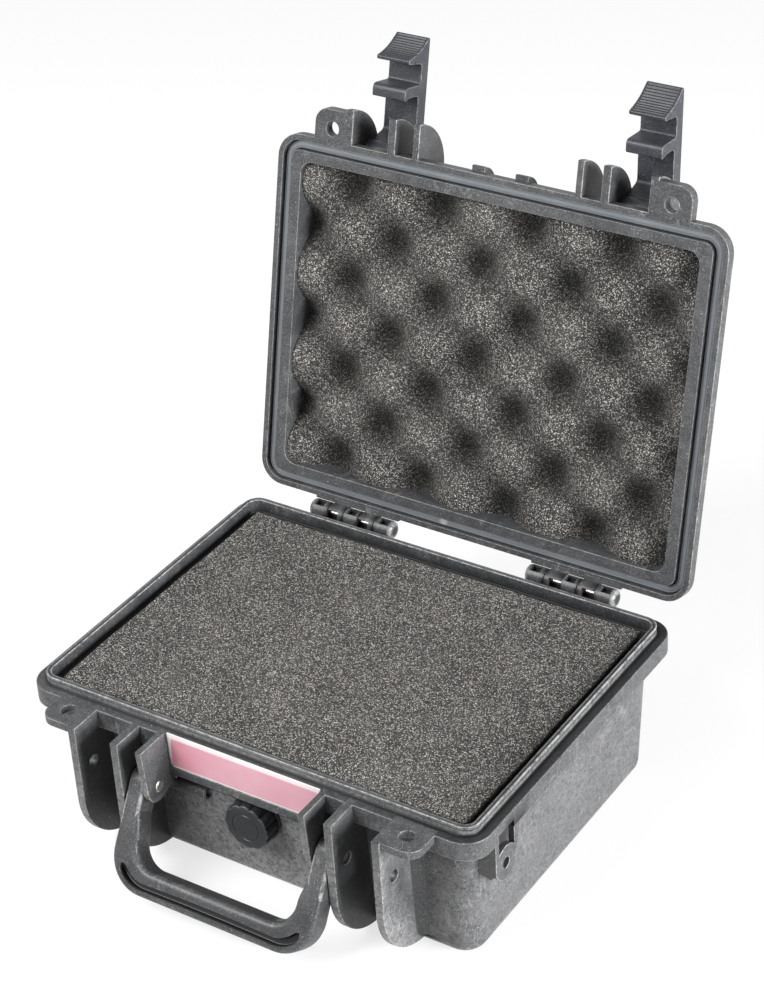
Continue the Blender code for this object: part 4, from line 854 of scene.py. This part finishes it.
def knuckle(side, index):
    """A hinge knuckle: a barrel with round ends and a window beside the pin, and its arm.

    Barrel = axis + radius (cos a, sin a); in the window the second number is pressed down to a
    floor. The section is then turned so that the window looks up and forward, or down on the lid.
    """
    lid = index % 2
    start, end = KNUCKLE_ENDS[index] + 0.15, KNUCKLE_ENDS[index + 1] - 0.15
    low, high = faces((start, end), side)
    outer = 2.6 if index in (0, 4) else 0.35
    roundings = (0, outer, 0.35, 0) if (index == 0) == (side > 0) else (0, 0.35, outer, 0)
    radius, bore = KNUCKLE_RADIUS, 1.9
    line, wear = soften([(low, bore), (low, radius), (high, radius), (high, bore)], roundings, 5)
    # Painted shade on the knuckles' small-rounded ends, in the gaps between knuckles, and at the
    # bore
    wear = np.where(np.repeat(roundings, 6) < 1, -1.0, wear)
    wear[[0, -1]] = -1.0
    middle = (start + end) / 2
    window = faces((start + 2.9, end + 1) if lid else (middle - 3.1, middle + 3.1), side)
    wide, floor, lean = (3.0, 0.2, 183) if lid else (2.3, 1.75, 10)
    step = 2 * HAIR
    ends = np.array([window[0], window[0] + step, window[1] - step, window[1]])
    ends = ends[(ends > low) & (ends < high)]
    cut = len(line) // 2
    line = np.insert(line, cut, np.stack([ends, ends * 0 + radius], -1), 0)
    wear = np.insert(wear, cut, ends * 0)
    opening = math.degrees(math.acos(wide / radius))
    across = 7
    turn = np.concatenate([np.linspace(opening + 0.2, 180 - opening - 0.2, across),
                           np.linspace(180 - opening, 360 + opening, 30)])
    angle = np.radians(turn)[None, :]
    place, reach = line[:, 0, None], line[:, 1, None]
    p, q = reach * np.cos(angle), reach * np.sin(angle)
    within = (np.arange(turn.size) < across)[None, :] & (place > window[0] + HAIR) \
        & (place < window[1] - HAIR)
    q = np.where(within, floor, q)
    cos, sin = math.cos(math.radians(lean)), math.sin(math.radians(lean))
    ring = np.stack([np.broadcast_to(place, p.shape), p * cos - q * sin, p * sin + q * cos], -1)
    barrel = skin(ring + (0, *HINGE))
    # Painted shade on the window's floor
    barrel.wear = (wear[:, None] - within).reshape(-1)
    level = HINGE[1] + radius - 3.3 if lid else HINGE[1] - radius + 0.3
    arm = box((low + roundings[1], 99.6, level), (high - roundings[2], HINGE[0], level + 3), 0.3)
    arm.wear = -0.3 * arm.wear
    return [barrel, arm]


def hinge_strip(side):
    """The thickened edge of the lid's rim behind the barrels."""
    low, high = faces((KNUCKLE_ENDS[0], KNUCKLE_ENDS[-1]), side)
    strip = box((low, 100, MATE + 0.05), (high, 102.45, 92.4), 0.3)
    strip.wear = -0.3 * strip.wear
    return strip


def lid_walls(sizes):
    """The lid's cup, closed: one section from the ceiling inside, down to the mating face and its
    seal groove, round the rim and shoulder, and up over the crown to the raised field.

    A station is (inset, height, corner).
    """
    m, r = MATE, sizes.rim_round
    stations = [
        (60, m + 33.7, 7), (18.4, m + 33.7, 7), (15.2, m, 7), (8.6, m, 5.4), (8.6, m + 5.3, 5.4),
        (3.3, m + 5.3, 10.7), (3.3, m, 10.7), (0, m, 14), (0, m + 6.5, 14), (3.8, m + 6.5, 11),
        (3.8, m + 9, 11), (11.5, m + 9, 12), (15.4, m + 37.1, 12), (41, m + 37.1, 12),
        (41.4, m + 38.3, 12), (70, m + 38.3, 8)]
    radii = [0, 3, 0.35, 0.25, 0.5, 0.5, 0.3, 0.45, r, 0.5, r, 1.2, 7, 0.5, 0.5, 0]
    line, wear = soften(stations, radii, 5)
    skew = np.interp(line[:, 0], [0, 9, 11.5, 15.2, 18.4, 41], [0, 0, 0.8, 0.9, 1.0, 1.8])
    return skin(rim_rings(line, skew), wear * np.where(line[:, 1] > m + 20, 0.3, 0.7))


def lid_ear(side, pair, radius, centre, level, sizes, holes=()):
    """A quarter-round plate on the lid, flush with its rim."""
    line = [*arc((centre, level), radius, 180, 90, 22), (-86, level + radius), (-86, 93.2),
            (-98.1, 93.2), (-98.1, level)]
    return plate(line, *faces(pair, side), "side", sizes.rib_round, holes)


def seal_ring():
    """The seal: a low crowned section with a fine line along each side of its crown.

    A station is (inset, height, corner); each corner is 14 mm less the inset.
    """
    section = [(3.7, 5.0), (3.7, 2.9), (4.6, 2.7), (4.8, 3.0), (5.0, 2.7), (6.9, 2.7), (7.1, 3.0),
               (7.3, 2.7), (8.2, 2.9), (8.2, 5.0)]
    stations = [(inset, MATE + rise, 14 - inset) for inset, rise in section]
    line, _ = soften(stations, [.2, .5, .08, .08, .3, .3, .08, .08, .5, .2], 3, closed=True)
    return skin(rim_rings(line), 0.0, loop=True)


def latch_side(sizes, depth):
    """A latch's side view as (u, v): u runs away from the pivot and v to the outer skin.

    The finger pad is the straight line between its two ends less 1.3 sin(pi s) mm, and its
    grooves are depth (1 - cos(2 pi n s)) / 2 across it.
    """
    s = np.linspace(0, 1, sizes.grip_count * 6 + 1)
    start, end, across = np.array([(60.6, 20.0), (51.3, 2.5), (-0.883, 0.469)])
    groove = depth * (1 - np.cos(2 * math.pi * sizes.grip_count * s)) / 2
    groove *= np.clip(np.minimum(s, 1 - s) * 40, 0, 1)
    sunk = groove + 1.3 * np.sin(math.pi * s)
    pad = start + (end - start) * s[:, None] + across * sunk[:, None]
    low, high, near, far = 13.4, 14.9, 29.6, 36.5
    barrel = arc((0, 0), 5.8, 20, -180, 20)
    skinned, _ = soften([barrel[-1], (-5.8, 12), (-5.8, 21.5), (60.9, 21.5), pad[0]],
                        [0, 0.5, 1.3, 0.9, 0], 4)
    hooked, _ = soften([pad[-1], (50.9, 1.7), (49.0, 2.1), (47.6, high), (far, high), (far, -0.2),
                        (near, -0.2), (near, 1.8), (near + 1.1, 4.6), (near + 0.8, low),
                        (9.4, low), barrel[0]],
                       [0, 0.8, 0.8, 2.2, 1.5, 3.0, 0.9, 0.8, 1.6, 2.2, 2.1, 0], 4)
    return np.concatenate([barrel[:-1], skinned[5:-5], pad, hooked[5:-5]])


def latch(side, label, sizes):
    """A latch: its side view carried across, grooved between two plain margins.

    The sixth and seventh outlines of the plate are the grooved ones, so painted shade goes into
    the grooves there.
    """
    plain, grooved = latch_side(sizes, 0.0), latch_side(sizes, sizes.grip_depth)
    shell = plate(plain, *faces((67.0, 87.7), side), "top", sizes.latch_round,
                  [circle((0, 0), LATCH_BORE)], grooved, 1.3)
    share = np.linalg.norm(grooved - plain, axis=1) / sizes.grip_depth
    share = share if anticlockwise(plain) else share[::-1]
    shell.wear = shell.wear.copy()
    # Painted shade in the grip grooves, strongest where a groove is deepest
    shell.wear[5 * len(share):7 * len(share)] -= np.tile(share, 2)
    to_case = Matrix(((0, 0, 1, 0), (0, -1, 0, 0), (-1, 0, 0, 0), (0, 0, 0, 1)))
    return shell.moved(LID_TURN @ hung(LATCH_PIVOT, -math.radians(LATCH_OPEN[label])) @ to_case)


def handle_grip():
    """The grip, hanging from the pins: a rounded section with a long groove in its front face,
    carried along a U between an outer and an inner line.

    Ring point = outer + w (inner - outer) / |inner - outer| with y = v, (w, v) on the section.
    The groove's depth is 4.2 (1 - (1 - g)^2)^(1/2) mm, where g rises from 0 at its two ends.
    The arms grow out of the tongues as b rises from 0 to 1: b = t^2 (3 - 2 t), t along the arm.
    """
    arm, bend, half = 16, 22, 16
    top, low = -12, -35.6
    turn = np.radians(np.concatenate([np.zeros(arm), np.linspace(0, 90, bend), np.full(half, 90)]))
    t = np.ones(turn.size)
    t[:arm] = np.clip((top - np.linspace(top, low, arm + 1)[:-1]) / 23, 0, 1)
    rise = t * t * (3 - 2 * t)

    def u_line(x, z, radius, shift):
        """Down an arm, round a bend about (x, z) and along to the middle, then mirrored."""
        down = np.concatenate([np.linspace(top, z, arm + 1)[:-1], np.full(bend + half, z)])
        over = np.concatenate([np.full(arm + bend, x), np.linspace(x, 0, half + 1)[1:]])
        line = np.stack([over + shift * (1 - rise) - radius * np.cos(turn),
                         down - radius * np.sin(turn)], -1)
        return np.concatenate([line[:-1], line[::-1] * (-1, 1)])

    outer, inner = u_line(-41.1, low, 20, 0.4), u_line(-34.6, -28.0, 13.5, -3.2)
    b = np.concatenate([rise[:-1], rise[::-1]])[:, None]
    across = inner - outer
    wide = np.linalg.norm(across, axis=1, keepdims=True)
    across /= wide
    step = np.linalg.norm(np.diff(outer, axis=0), axis=1)
    along = np.abs(np.cumsum([0, *step]) / step.sum() * 2 - 1)
    g = np.clip((0.64 - along) / 0.05, 0, 1)[:, None]
    g = np.sqrt(1 - (1 - g) ** 2)
    front, back = -6.8 - 1.2 * b, 5.5 + b
    deep, lip = front + 4.2 * g, 0.4 + 1.8 * g
    section = ((0, back), (0, front), (5.9 - lip, front), (6.2 - lip, deep), (5.6 + lip, deep),
               (5.9 + lip, front), (wide, front), (wide, back))
    stations = np.stack([np.concatenate([w + 0 * wide, v], 1) for w, v in section], 1)
    soft = 1.9 + np.concatenate([2.3 * b, 1.7 * b, 1.7 * b, 2.3 * b], 1)
    small = 0.09 + g * (0.4, 0.7, 0.7, 0.4)
    radii = np.concatenate([soft[:, :2], small, soft[:, 2:]], 1)
    line, wear = soften(stations, radii, 5, closed=True, way=1)
    share, lips, floor = (np.repeat(row, 6) for row in (
        [0.35, 0.35, 0, 0, 0, 0, 0.35, 0.35], [0, 0, 0.6, 0, 0, 0.6, 0, 0],
        [0, 0, 0, 1, 1, 0, 0, 0]))
    place = outer[:, None, :] + across[:, None, :] * line[..., :1]
    shell = skin(np.stack([place[..., 0], line[..., 1], place[..., 1]], -1))
    # Painted shade on the groove's floor, and the whole grip given a darker tone with less dust
    shell.wear = (wear * (share + lips * g) - floor * g).reshape(-1) - 0.45
    return shell


def handle_tongue(side):
    """A flat tongue with a round eye about the pin, which runs down into the grip."""
    line = [*arc((0, 0), 7.2, 0, 180, 22), (-7.2, -23.2), (-4.0, -29), (3.2, -29), (5.9, -23.2)]
    return plate(line, *faces((51.1, 60.9), side), "side", 1.9, [circle((0, 0), PIN_BORE)])


def pin(side, pair, centre, radius, tip=0.3):
    """A plain pin along X with a small chamfer at each end."""
    low, high = faces(pair, side)
    profile = [(low, 0.2), (low, radius - tip), (low + tip, radius), (high - tip, radius),
               (high, radius - tip), (high, 0.2)]
    return skin(lathe(profile, centre, "x", 24), [0, 1, 0, 0, 1, 0])


def purge_knob(sizes):
    """The knob: a section turned round a Y axis, scalloped by 12 flutes along its side.

    Radius = r - flute (1 - |cos(6 a)|^0.6) at full height of the side, none on face and stem.
    """
    stations = [(-101.5, 0.3), (-101.5, 7.2), (-101.15, 7.4), (-101.15, 8.1), (-101.5, 8.3),
                (-101.5, 13.2), (-92.3, 13.2), (-92.3, 5.7), (-94.2, 5.7), (-94.2, 3.0),
                (-84.0, 3.0), (-84.0, 0.3)]
    line, wear = soften(stations, [0, 0.1, 0.1, 0.1, 0.1, 1.0, 0.6, 0.4, 0.2, 0.2, 0.3, 0], 4)
    outer = np.clip((line[:, 1, None] - 9.5) / 3, 0, 1)

    def flutes(angle):
        return 1 - sizes.knob_flute / 13.2 * (1 - np.abs(np.cos(6 * angle)) ** 0.6) * outer

    return skin(lathe(line, (0, VALVE_Z), "y", 144, flutes), wear * 0.6)


def washer(outer, bore, low, high, edge=0.15, sides=48):
    """A flat ring about the valve's axis, between two y values."""
    ring, hole = circle((0, VALVE_Z), outer, sides), circle((0, VALVE_Z), bore, 32)
    return plate(ring, low, high, "front", edge, [hole])


def pad_grid(half_x, half_y, columns, rows):
    """A grid of x and y over a pad, close together near its edges."""
    ends = np.array([0, 0.15, 0.4, 0.8, 1.4, 2.2])
    return np.meshgrid(*(np.concatenate([ends - half, np.linspace(3.4 - half, half - 3.4, many),
                                         (half - ends)[::-1]])
                         for half, many in ((half_x, columns), (half_y, rows))))


def folded(x, y, half_x, half_y, corner):
    """Pulls the corners of a grid onto quarter circles."""
    cx, cy = np.maximum(np.abs(x) - half_x + corner, 0), np.maximum(np.abs(y) - half_y + corner, 0)
    reach = np.hypot(cx, cy)
    draw = np.where((cx > 0) & (cy > 0) & (reach > corner), corner / np.maximum(reach, TINY), 1)
    return np.sign(x) * (np.abs(x) - cx * (1 - draw)), np.sign(y) * (np.abs(y) - cy * (1 - draw))


def foam_block(sizes):
    """The base's block: height = top + sag (sin + sin) less a quarter circle along the edges.

    Its top bulges over the ledge inside the rim, and a notch leaves room for the valve's nut.
    """
    half_x, half_y, edge = 119.9, 86.1, 1.1
    x, y = pad_grid(half_x, half_y, 120, 90)
    away = np.minimum(half_x - np.abs(x), half_y - np.abs(y))
    drop = edge - np.sqrt(edge ** 2 - np.clip(edge - away, 0, edge) ** 2)
    waves = np.sin(x * 0.071 + 1.3 * np.sin(y * 0.043)) \
        + np.sin(y * 0.088 + 0.9 * np.sin(x * 0.057) + 1)
    z = 85.1 + sizes.foam_sag * waves - drop
    shell = block(np.stack([*folded(x, y, half_x, half_y, 2), z], -1), 15.9, 2.8,
                  (80, 60, 55, 52, 48, VALVE_Z, 39, 35, 32, 27))
    over = FOAM_BULGE * np.clip((shell.points[:, 2:] - 82) / 1.5, 0, 1)
    flat = shell.points[:, :2]
    flat += np.sign(flat) * over * np.clip((np.abs(flat) - (half_x, half_y)) / 9 + 1, 0, 1)
    x, y, z = shell.points.T
    notch = (np.hypot(x, z - VALVE_Z) < 11.5) & (y < -70)
    shell.points[:, 1] = np.where(notch, -77.0, y)
    return shell


def foam_sheet():
    """The flat pad under the block."""
    half_x, half_y = 116.7, 82.9
    x, y = pad_grid(half_x, half_y, 12, 10)
    top = np.full(x.shape, 15.5)
    return block(np.stack([*folded(x, y, half_x, half_y, 7), top], -1), 3.9, 1.5)


def egg_foam(sizes):
    """The lid's pad, closed: depth = peak + (pit - peak) ((1 + cos X cos Y) / 2)^sharpness.

    It is drawn upside down, and also gives how near each point is to a pit, from 0 to 1.
    """
    half_x, half_y = 119.3, 86.5
    x, y = pad_grid(half_x, half_y, 190, 138)
    wave = np.cos(2 * math.pi * (x + 9.0) / sizes.egg_pitch_x)
    wave = wave * np.cos(2 * math.pi * (y - 1.5) / sizes.egg_pitch_y)
    part = ((1 + wave) / 2) ** sizes.egg_sharpness
    z = -(MATE + sizes.egg_peak + (sizes.egg_pit - sizes.egg_peak) * part)
    shell = block(np.stack([*folded(x, y, half_x, half_y, 6.5), z], -1), -(MATE + 33.2), 3.2)
    pit = np.concatenate([part.reshape(-1), np.zeros(len(shell.points) - part.size)])
    return shell.moved(LID_TURN @ Matrix.Diagonal((1, 1, -1, 1))), pit


# ---------------------------------------------------------------- operators


class PieceOperator:
    """What the operators of pieces share: each gives its pieces as rows for add_piece."""

    bl_options = {"REGISTER", "UNDO"}

    def execute(self, context):
        for row in self.pieces(measures(context.scene.case_sizes)):
            add_piece(context, *row)
        return {"FINISHED"}


class CASE_OT_base(PieceOperator, bpy.types.Operator):
    """Builds the lower moulding's cup with its front panel and boss"""

    bl_idname = "case.base"
    bl_label = "Base moulding"

    def pieces(self, sizes):
        shells = [base_walls(sizes), *front_panel(), drain_boss()]
        yield "base_moulding", shells, "case_plastic", "base", "base_shell"


class CASE_OT_ribs(PieceOperator, bpy.types.Operator):
    """Builds the ribs, webs and lugs that stand on the base"""

    bl_idname = "case.ribs"
    bl_label = "Ribs and lugs"

    def pieces(self, sizes):
        for label, side in SIDES.items():
            yield (f"front_ribs_{label}", [*ribs(side, sizes), rib_web(side)], "case_plastic",
                   "base", "base_shell")
            lug = padlock_lug(side, RIM_TOP - 4.6, RIM_TOP + 0.03, -97.4, sizes)
            yield (f"base_lugs_{label}", [lug, *strap_lug(side)], "case_plastic", "base",
                   "base_shell")


class CASE_OT_hinges(PieceOperator, bpy.types.Operator):
    """Builds the hinge knuckles of both halves and their pins"""

    bl_idname = "case.hinges"
    bl_label = "Hinges"

    def pieces(self, sizes):
        for label, side in SIDES.items():
            low, high = ([shell for i in row for shell in knuckle(side, i)]
                         for row in ((0, 2, 4), (1, 3)))
            yield f"base_knuckles_{label}", low, "case_plastic", "base", "base_shell"
            high = [shell.moved(LID_TURN) for shell in (*high, hinge_strip(side))]
            yield f"lid_knuckles_{label}", high, "case_plastic", "lid", "lid_shell"
            rod = pin(side, (42.5, 96.4), HINGE, 1.6)
            yield f"hinge_rod_{label}", [rod], "pin_steel", "base", f"hinge_pin_{label}"


class CASE_OT_lid(PieceOperator, bpy.types.Operator):
    """Builds the upper moulding's cup, its ears and its padlock lugs"""

    bl_idname = "case.lid"
    bl_label = "Lid moulding"

    def pieces(self, sizes):
        walls = lid_walls(sizes).moved(LID_TURN)
        yield "lid_moulding", [walls], "case_plastic", "lid", "lid_shell"
        bore = [circle(LATCH_PIVOT, LATCH_BORE)]
        for label, side in SIDES.items():
            shells = [lid_ear(side, pair, 28, -92, MATE - 0.02, sizes,
                              () if name == "inner" else bore) for name, pair in RIBS.items()]
            shells += [lid_ear(side, (9.0, 17.0), 13, -91, MATE + 5, sizes),
                       padlock_lug(side, MATE - 0.03, MATE + 6.4, -98.2, sizes)]
            yield (f"lid_ears_{label}", [shell.moved(LID_TURN) for shell in shells],
                   "case_plastic", "lid", "lid_shell")


class CASE_OT_seal(PieceOperator, bpy.types.Operator):
    """Builds the ring that seals the lid"""

    bl_idname = "case.seal"
    bl_label = "Lid seal"

    def pieces(self, sizes):
        yield "lid_seal", [seal_ring().moved(LID_TURN)], "seal_rubber", "lid", "lid_o_ring"


class CASE_OT_foam(PieceOperator, bpy.types.Operator):
    """Builds the foam in the base and the egg-crate pad in the lid"""

    bl_idname = "case.foam"
    bl_label = "Foam"

    def pieces(self, sizes):
        yield "base_foam", [foam_block(sizes)], "foam", "base", "foam_block"
        yield "base_foam_sheet", [foam_sheet()], "foam", "base", "foam_pad"
        shell, pit = egg_foam(sizes)
        yield "egg_crate_foam", [shell], "foam", "lid", "lid_foam", pit


class CASE_OT_latches(PieceOperator, bpy.types.Operator):
    """Builds the two throw latches and the pins that they turn on"""

    bl_idname = "case.latches"
    bl_label = "Latches"

    def pieces(self, sizes):
        for label, side in SIDES.items():
            yield (f"throw_latch_{label}", [latch(side, label, sizes)], "latch_plastic",
                   f"latch_{label}", f"latch_{label}")
            rod = pin(side, (62.1, 92.4), LATCH_PIVOT, 2.0).moved(LID_TURN)
            yield f"latch_rod_{label}", [rod], "pin_steel", "lid", f"latch_pin_{label}"


class CASE_OT_handle(PieceOperator, bpy.types.Operator):
    """Builds the carry handle and its pins"""

    bl_idname = "case.handle"
    bl_label = "Carry handle"

    def pieces(self, sizes):
        hang = hung(PIN, -math.radians(HANDLE_TILT))
        shells = [handle_grip(), *(handle_tongue(side) for side in SIDES.values())]
        yield ("carry_handle", [shell.moved(hang) for shell in shells], "case_plastic", "handle",
               "handle")
        for label, side in SIDES.items():
            rod = pin(side, (46.2, 64.7), PIN, 3.1, 0.5)
            yield f"handle_rod_{label}", [rod], "pin_steel", "base", f"handle_pin_{label}"


class CASE_OT_valve(PieceOperator, bpy.types.Operator):
    """Builds the purge valve: knob, seal, bush, gasket and nut"""

    bl_idname = "case.valve"
    bl_label = "Purge valve"

    def pieces(self, sizes):
        yield "purge_knob", [purge_knob(sizes)], "knob_plastic", "knob", "valve_knob"
        flange = 14.0
        wall = -(WALL_FOOT + DRAFT * (VALVE_Z + flange))
        gasket = washer(12.5, 6.3, wall - 0.45, wall - 0.05, 0.1)
        yield "purge_gasket", [gasket], "seal_rubber", "base", "valve_gasket"
        bush = [washer(flange, 3.4, wall - 1.2, wall - 0.5), washer(6, 3.4, wall - 0.9, -78.5)]
        yield "purge_bush", bush, "knob_plastic", "base", "valve_body"
        (top_inset, top), (floor_inset, floor) = CAVITY_TOP, CAVITY_FLOOR
        inside = np.interp(VALVE_Z, [floor, top], [floor_inset, top_inset]) - RIM_Y
        nut = washer(8.5, 6.3, inside + 0.6, inside + 4.2, 0.3, 6)
        yield "purge_nut", [nut], "knob_plastic", "base", "valve_nut"
        ring = circle((4.6, wall - 2.1), 0.7, 12)[:, ::-1]
        seal = skin(lathe(ring, (0, VALVE_Z), "y", 40), 0.0, loop=True)
        yield "purge_seal", [seal], "seal_rubber", "valve_seal", "valve_o_ring"


class CASE_OT_plate(PieceOperator, bpy.types.Operator):
    """Builds the bare plate above the handle"""

    bl_idname = "case.plate"
    bl_label = "Label plate"

    def pieces(self, sizes):
        line, _ = soften([(-45.0, 63.6), (45.0, 63.6), (46.3, 84.1), (-46.3, 84.1)],
                         [2.5, 2.5, 0.5, 0.5], 6, closed=True)
        shell = plate(line, PANEL_FRONT + 0.1, PANEL_FRONT + 0.8, "front", 0.15)
        yield "label_plate", [shell], "plate", "base", "nameplate"


class CASE_OT_stage(bpy.types.Operator):
    """Builds the floor, the soft lights, the white surround and the camera"""

    bl_idname = "case.stage"
    bl_label = "Stage"

    def execute(self, context):
        scene = context.scene
        stage = scene.case_stage
        scene.view_settings.view_transform = "Standard"
        self.floor(scene)
        self.room(scene, stage.room)
        self.lamp(scene, "key_light", stage.key, 0.9, (1.95, -0.05, 0.60))
        self.lamp(scene, "fill_light", stage.fill, 1.1, (-0.80, -1.20, 1.45))
        self.camera(scene)
        return {"FINISHED"}

    def floor(self, scene):
        """A level sheet that is near white to the camera and keeps a soft shadow."""
        reach = 9.0
        mesh = bpy.data.meshes.new("floor")
        mesh.from_pydata([(-reach, -reach, 0), (reach, -reach, 0), (reach, reach, 0),
                          (-reach, reach, 0)], [], [(0, 1, 2, 3)])
        f = Finish("floor_white")
        f.finish(Base_Color=(0.80, 0.80, 0.80), Roughness=0.9)
        glow = f.node("ShaderNodeEmission", None, {"Color": (1, 1, 1), "Strength": 1.0})
        body = Value(f, f.shader.outputs[0])
        blend = f.node("ShaderNodeMixShader", None, {0: f.seen() * 0.72, 1: body, 2: glow})
        f.tree.links.new(blend.socket, f.tree.nodes["Material Output"].inputs["Surface"])
        mesh.materials.append(f.material)
        floor = bpy.data.objects.new("floor", mesh)
        scene.collection.objects.link(floor)

    def room(self, scene, strength):
        """Light from all round; camera, glossy and transmission rays see plain white."""
        scene.world = bpy.data.worlds.new("white_room")
        f = Finish(owner=scene.world)
        ground = f.tree.nodes["Background"].inputs
        f.feed(ground["Color"], (1, 1, 1))
        f.feed(ground["Strength"], f.seen() * (1 - strength) + strength)

    def lamp(self, scene, name, power, size, place):
        """A square area light that faces the case."""
        light = bpy.data.lights.new(name, "AREA")
        light.energy, light.size = power, size
        lamp = bpy.data.objects.new(name, light)
        scene.collection.objects.link(lamp)
        away = np.array(place) - (0, 0, 0.15)
        lamp.matrix_world = looking(place, away / np.linalg.norm(away))

    def camera(self, scene):
        """The photograph's view: bearing, height and roll about a point on the case."""
        bearing, height, roll = (math.radians(v) for v in (34.794, 32.759, -3.803))
        back = np.array([math.sin(bearing) * math.cos(height),
                         -math.cos(bearing) * math.cos(height), math.sin(height)])
        lens = bpy.data.cameras.new("camera")
        lens.sensor_width, lens.lens, lens.clip_end = 36, 93.66, 40
        camera = bpy.data.objects.new("camera", lens)
        scene.collection.objects.link(camera)
        offset = Matrix.Translation((0.015197, 0.079766, 1.340442))
        camera.matrix_world = looking((0, 0, 0.084347), back, roll) @ offset
        scene.camera = camera


PIECE_OPERATORS = (CASE_OT_base, CASE_OT_ribs, CASE_OT_hinges, CASE_OT_lid, CASE_OT_seal,
                   CASE_OT_foam, CASE_OT_latches, CASE_OT_handle, CASE_OT_valve, CASE_OT_plate)


class CASE_PT_panel(bpy.types.Panel):
    """Lists the settings and the operators in the sidebar"""

    bl_label = "Protector case"
    bl_idname = "CASE_PT_panel"
    bl_space_type = "VIEW_3D"
    bl_region_type = "UI"
    bl_category = "Case"

    def draw(self, context):
        layout = self.layout
        for group in (context.scene.case_sizes, context.scene.case_colours,
                      context.scene.case_stage):
            column = layout.column()
            for name in group.__annotations__:
                column.prop(group, name)
        for operator in (*PIECE_OPERATORS, CASE_OT_stage):
            layout.operator(operator.bl_idname)


SETTINGS = {"case_sizes": CaseSizes, "case_colours": CaseColours, "case_stage": CaseStage}
CLASSES = (*SETTINGS.values(), *PIECE_OPERATORS, CASE_OT_stage, CASE_PT_panel)


def register():
    for cls in CLASSES:
        bpy.utils.register_class(cls)
    for name, cls in SETTINGS.items():
        setattr(bpy.types.Scene, name, bpy.props.PointerProperty(type=cls))


def unregister():
    for name in SETTINGS:
        delattr(bpy.types.Scene, name)
    for cls in reversed(CLASSES):
        bpy.utils.unregister_class(cls)


def main():
    """Registers the add-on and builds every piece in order."""
    register()
    bpy.ops.case.stage()
    for operator in PIECE_OPERATORS:
        name = operator.bl_idname.split(".")[1]
        getattr(bpy.ops.case, name)()
    bpy.context.view_layer.update()


if __name__ == "__main__":
    main()
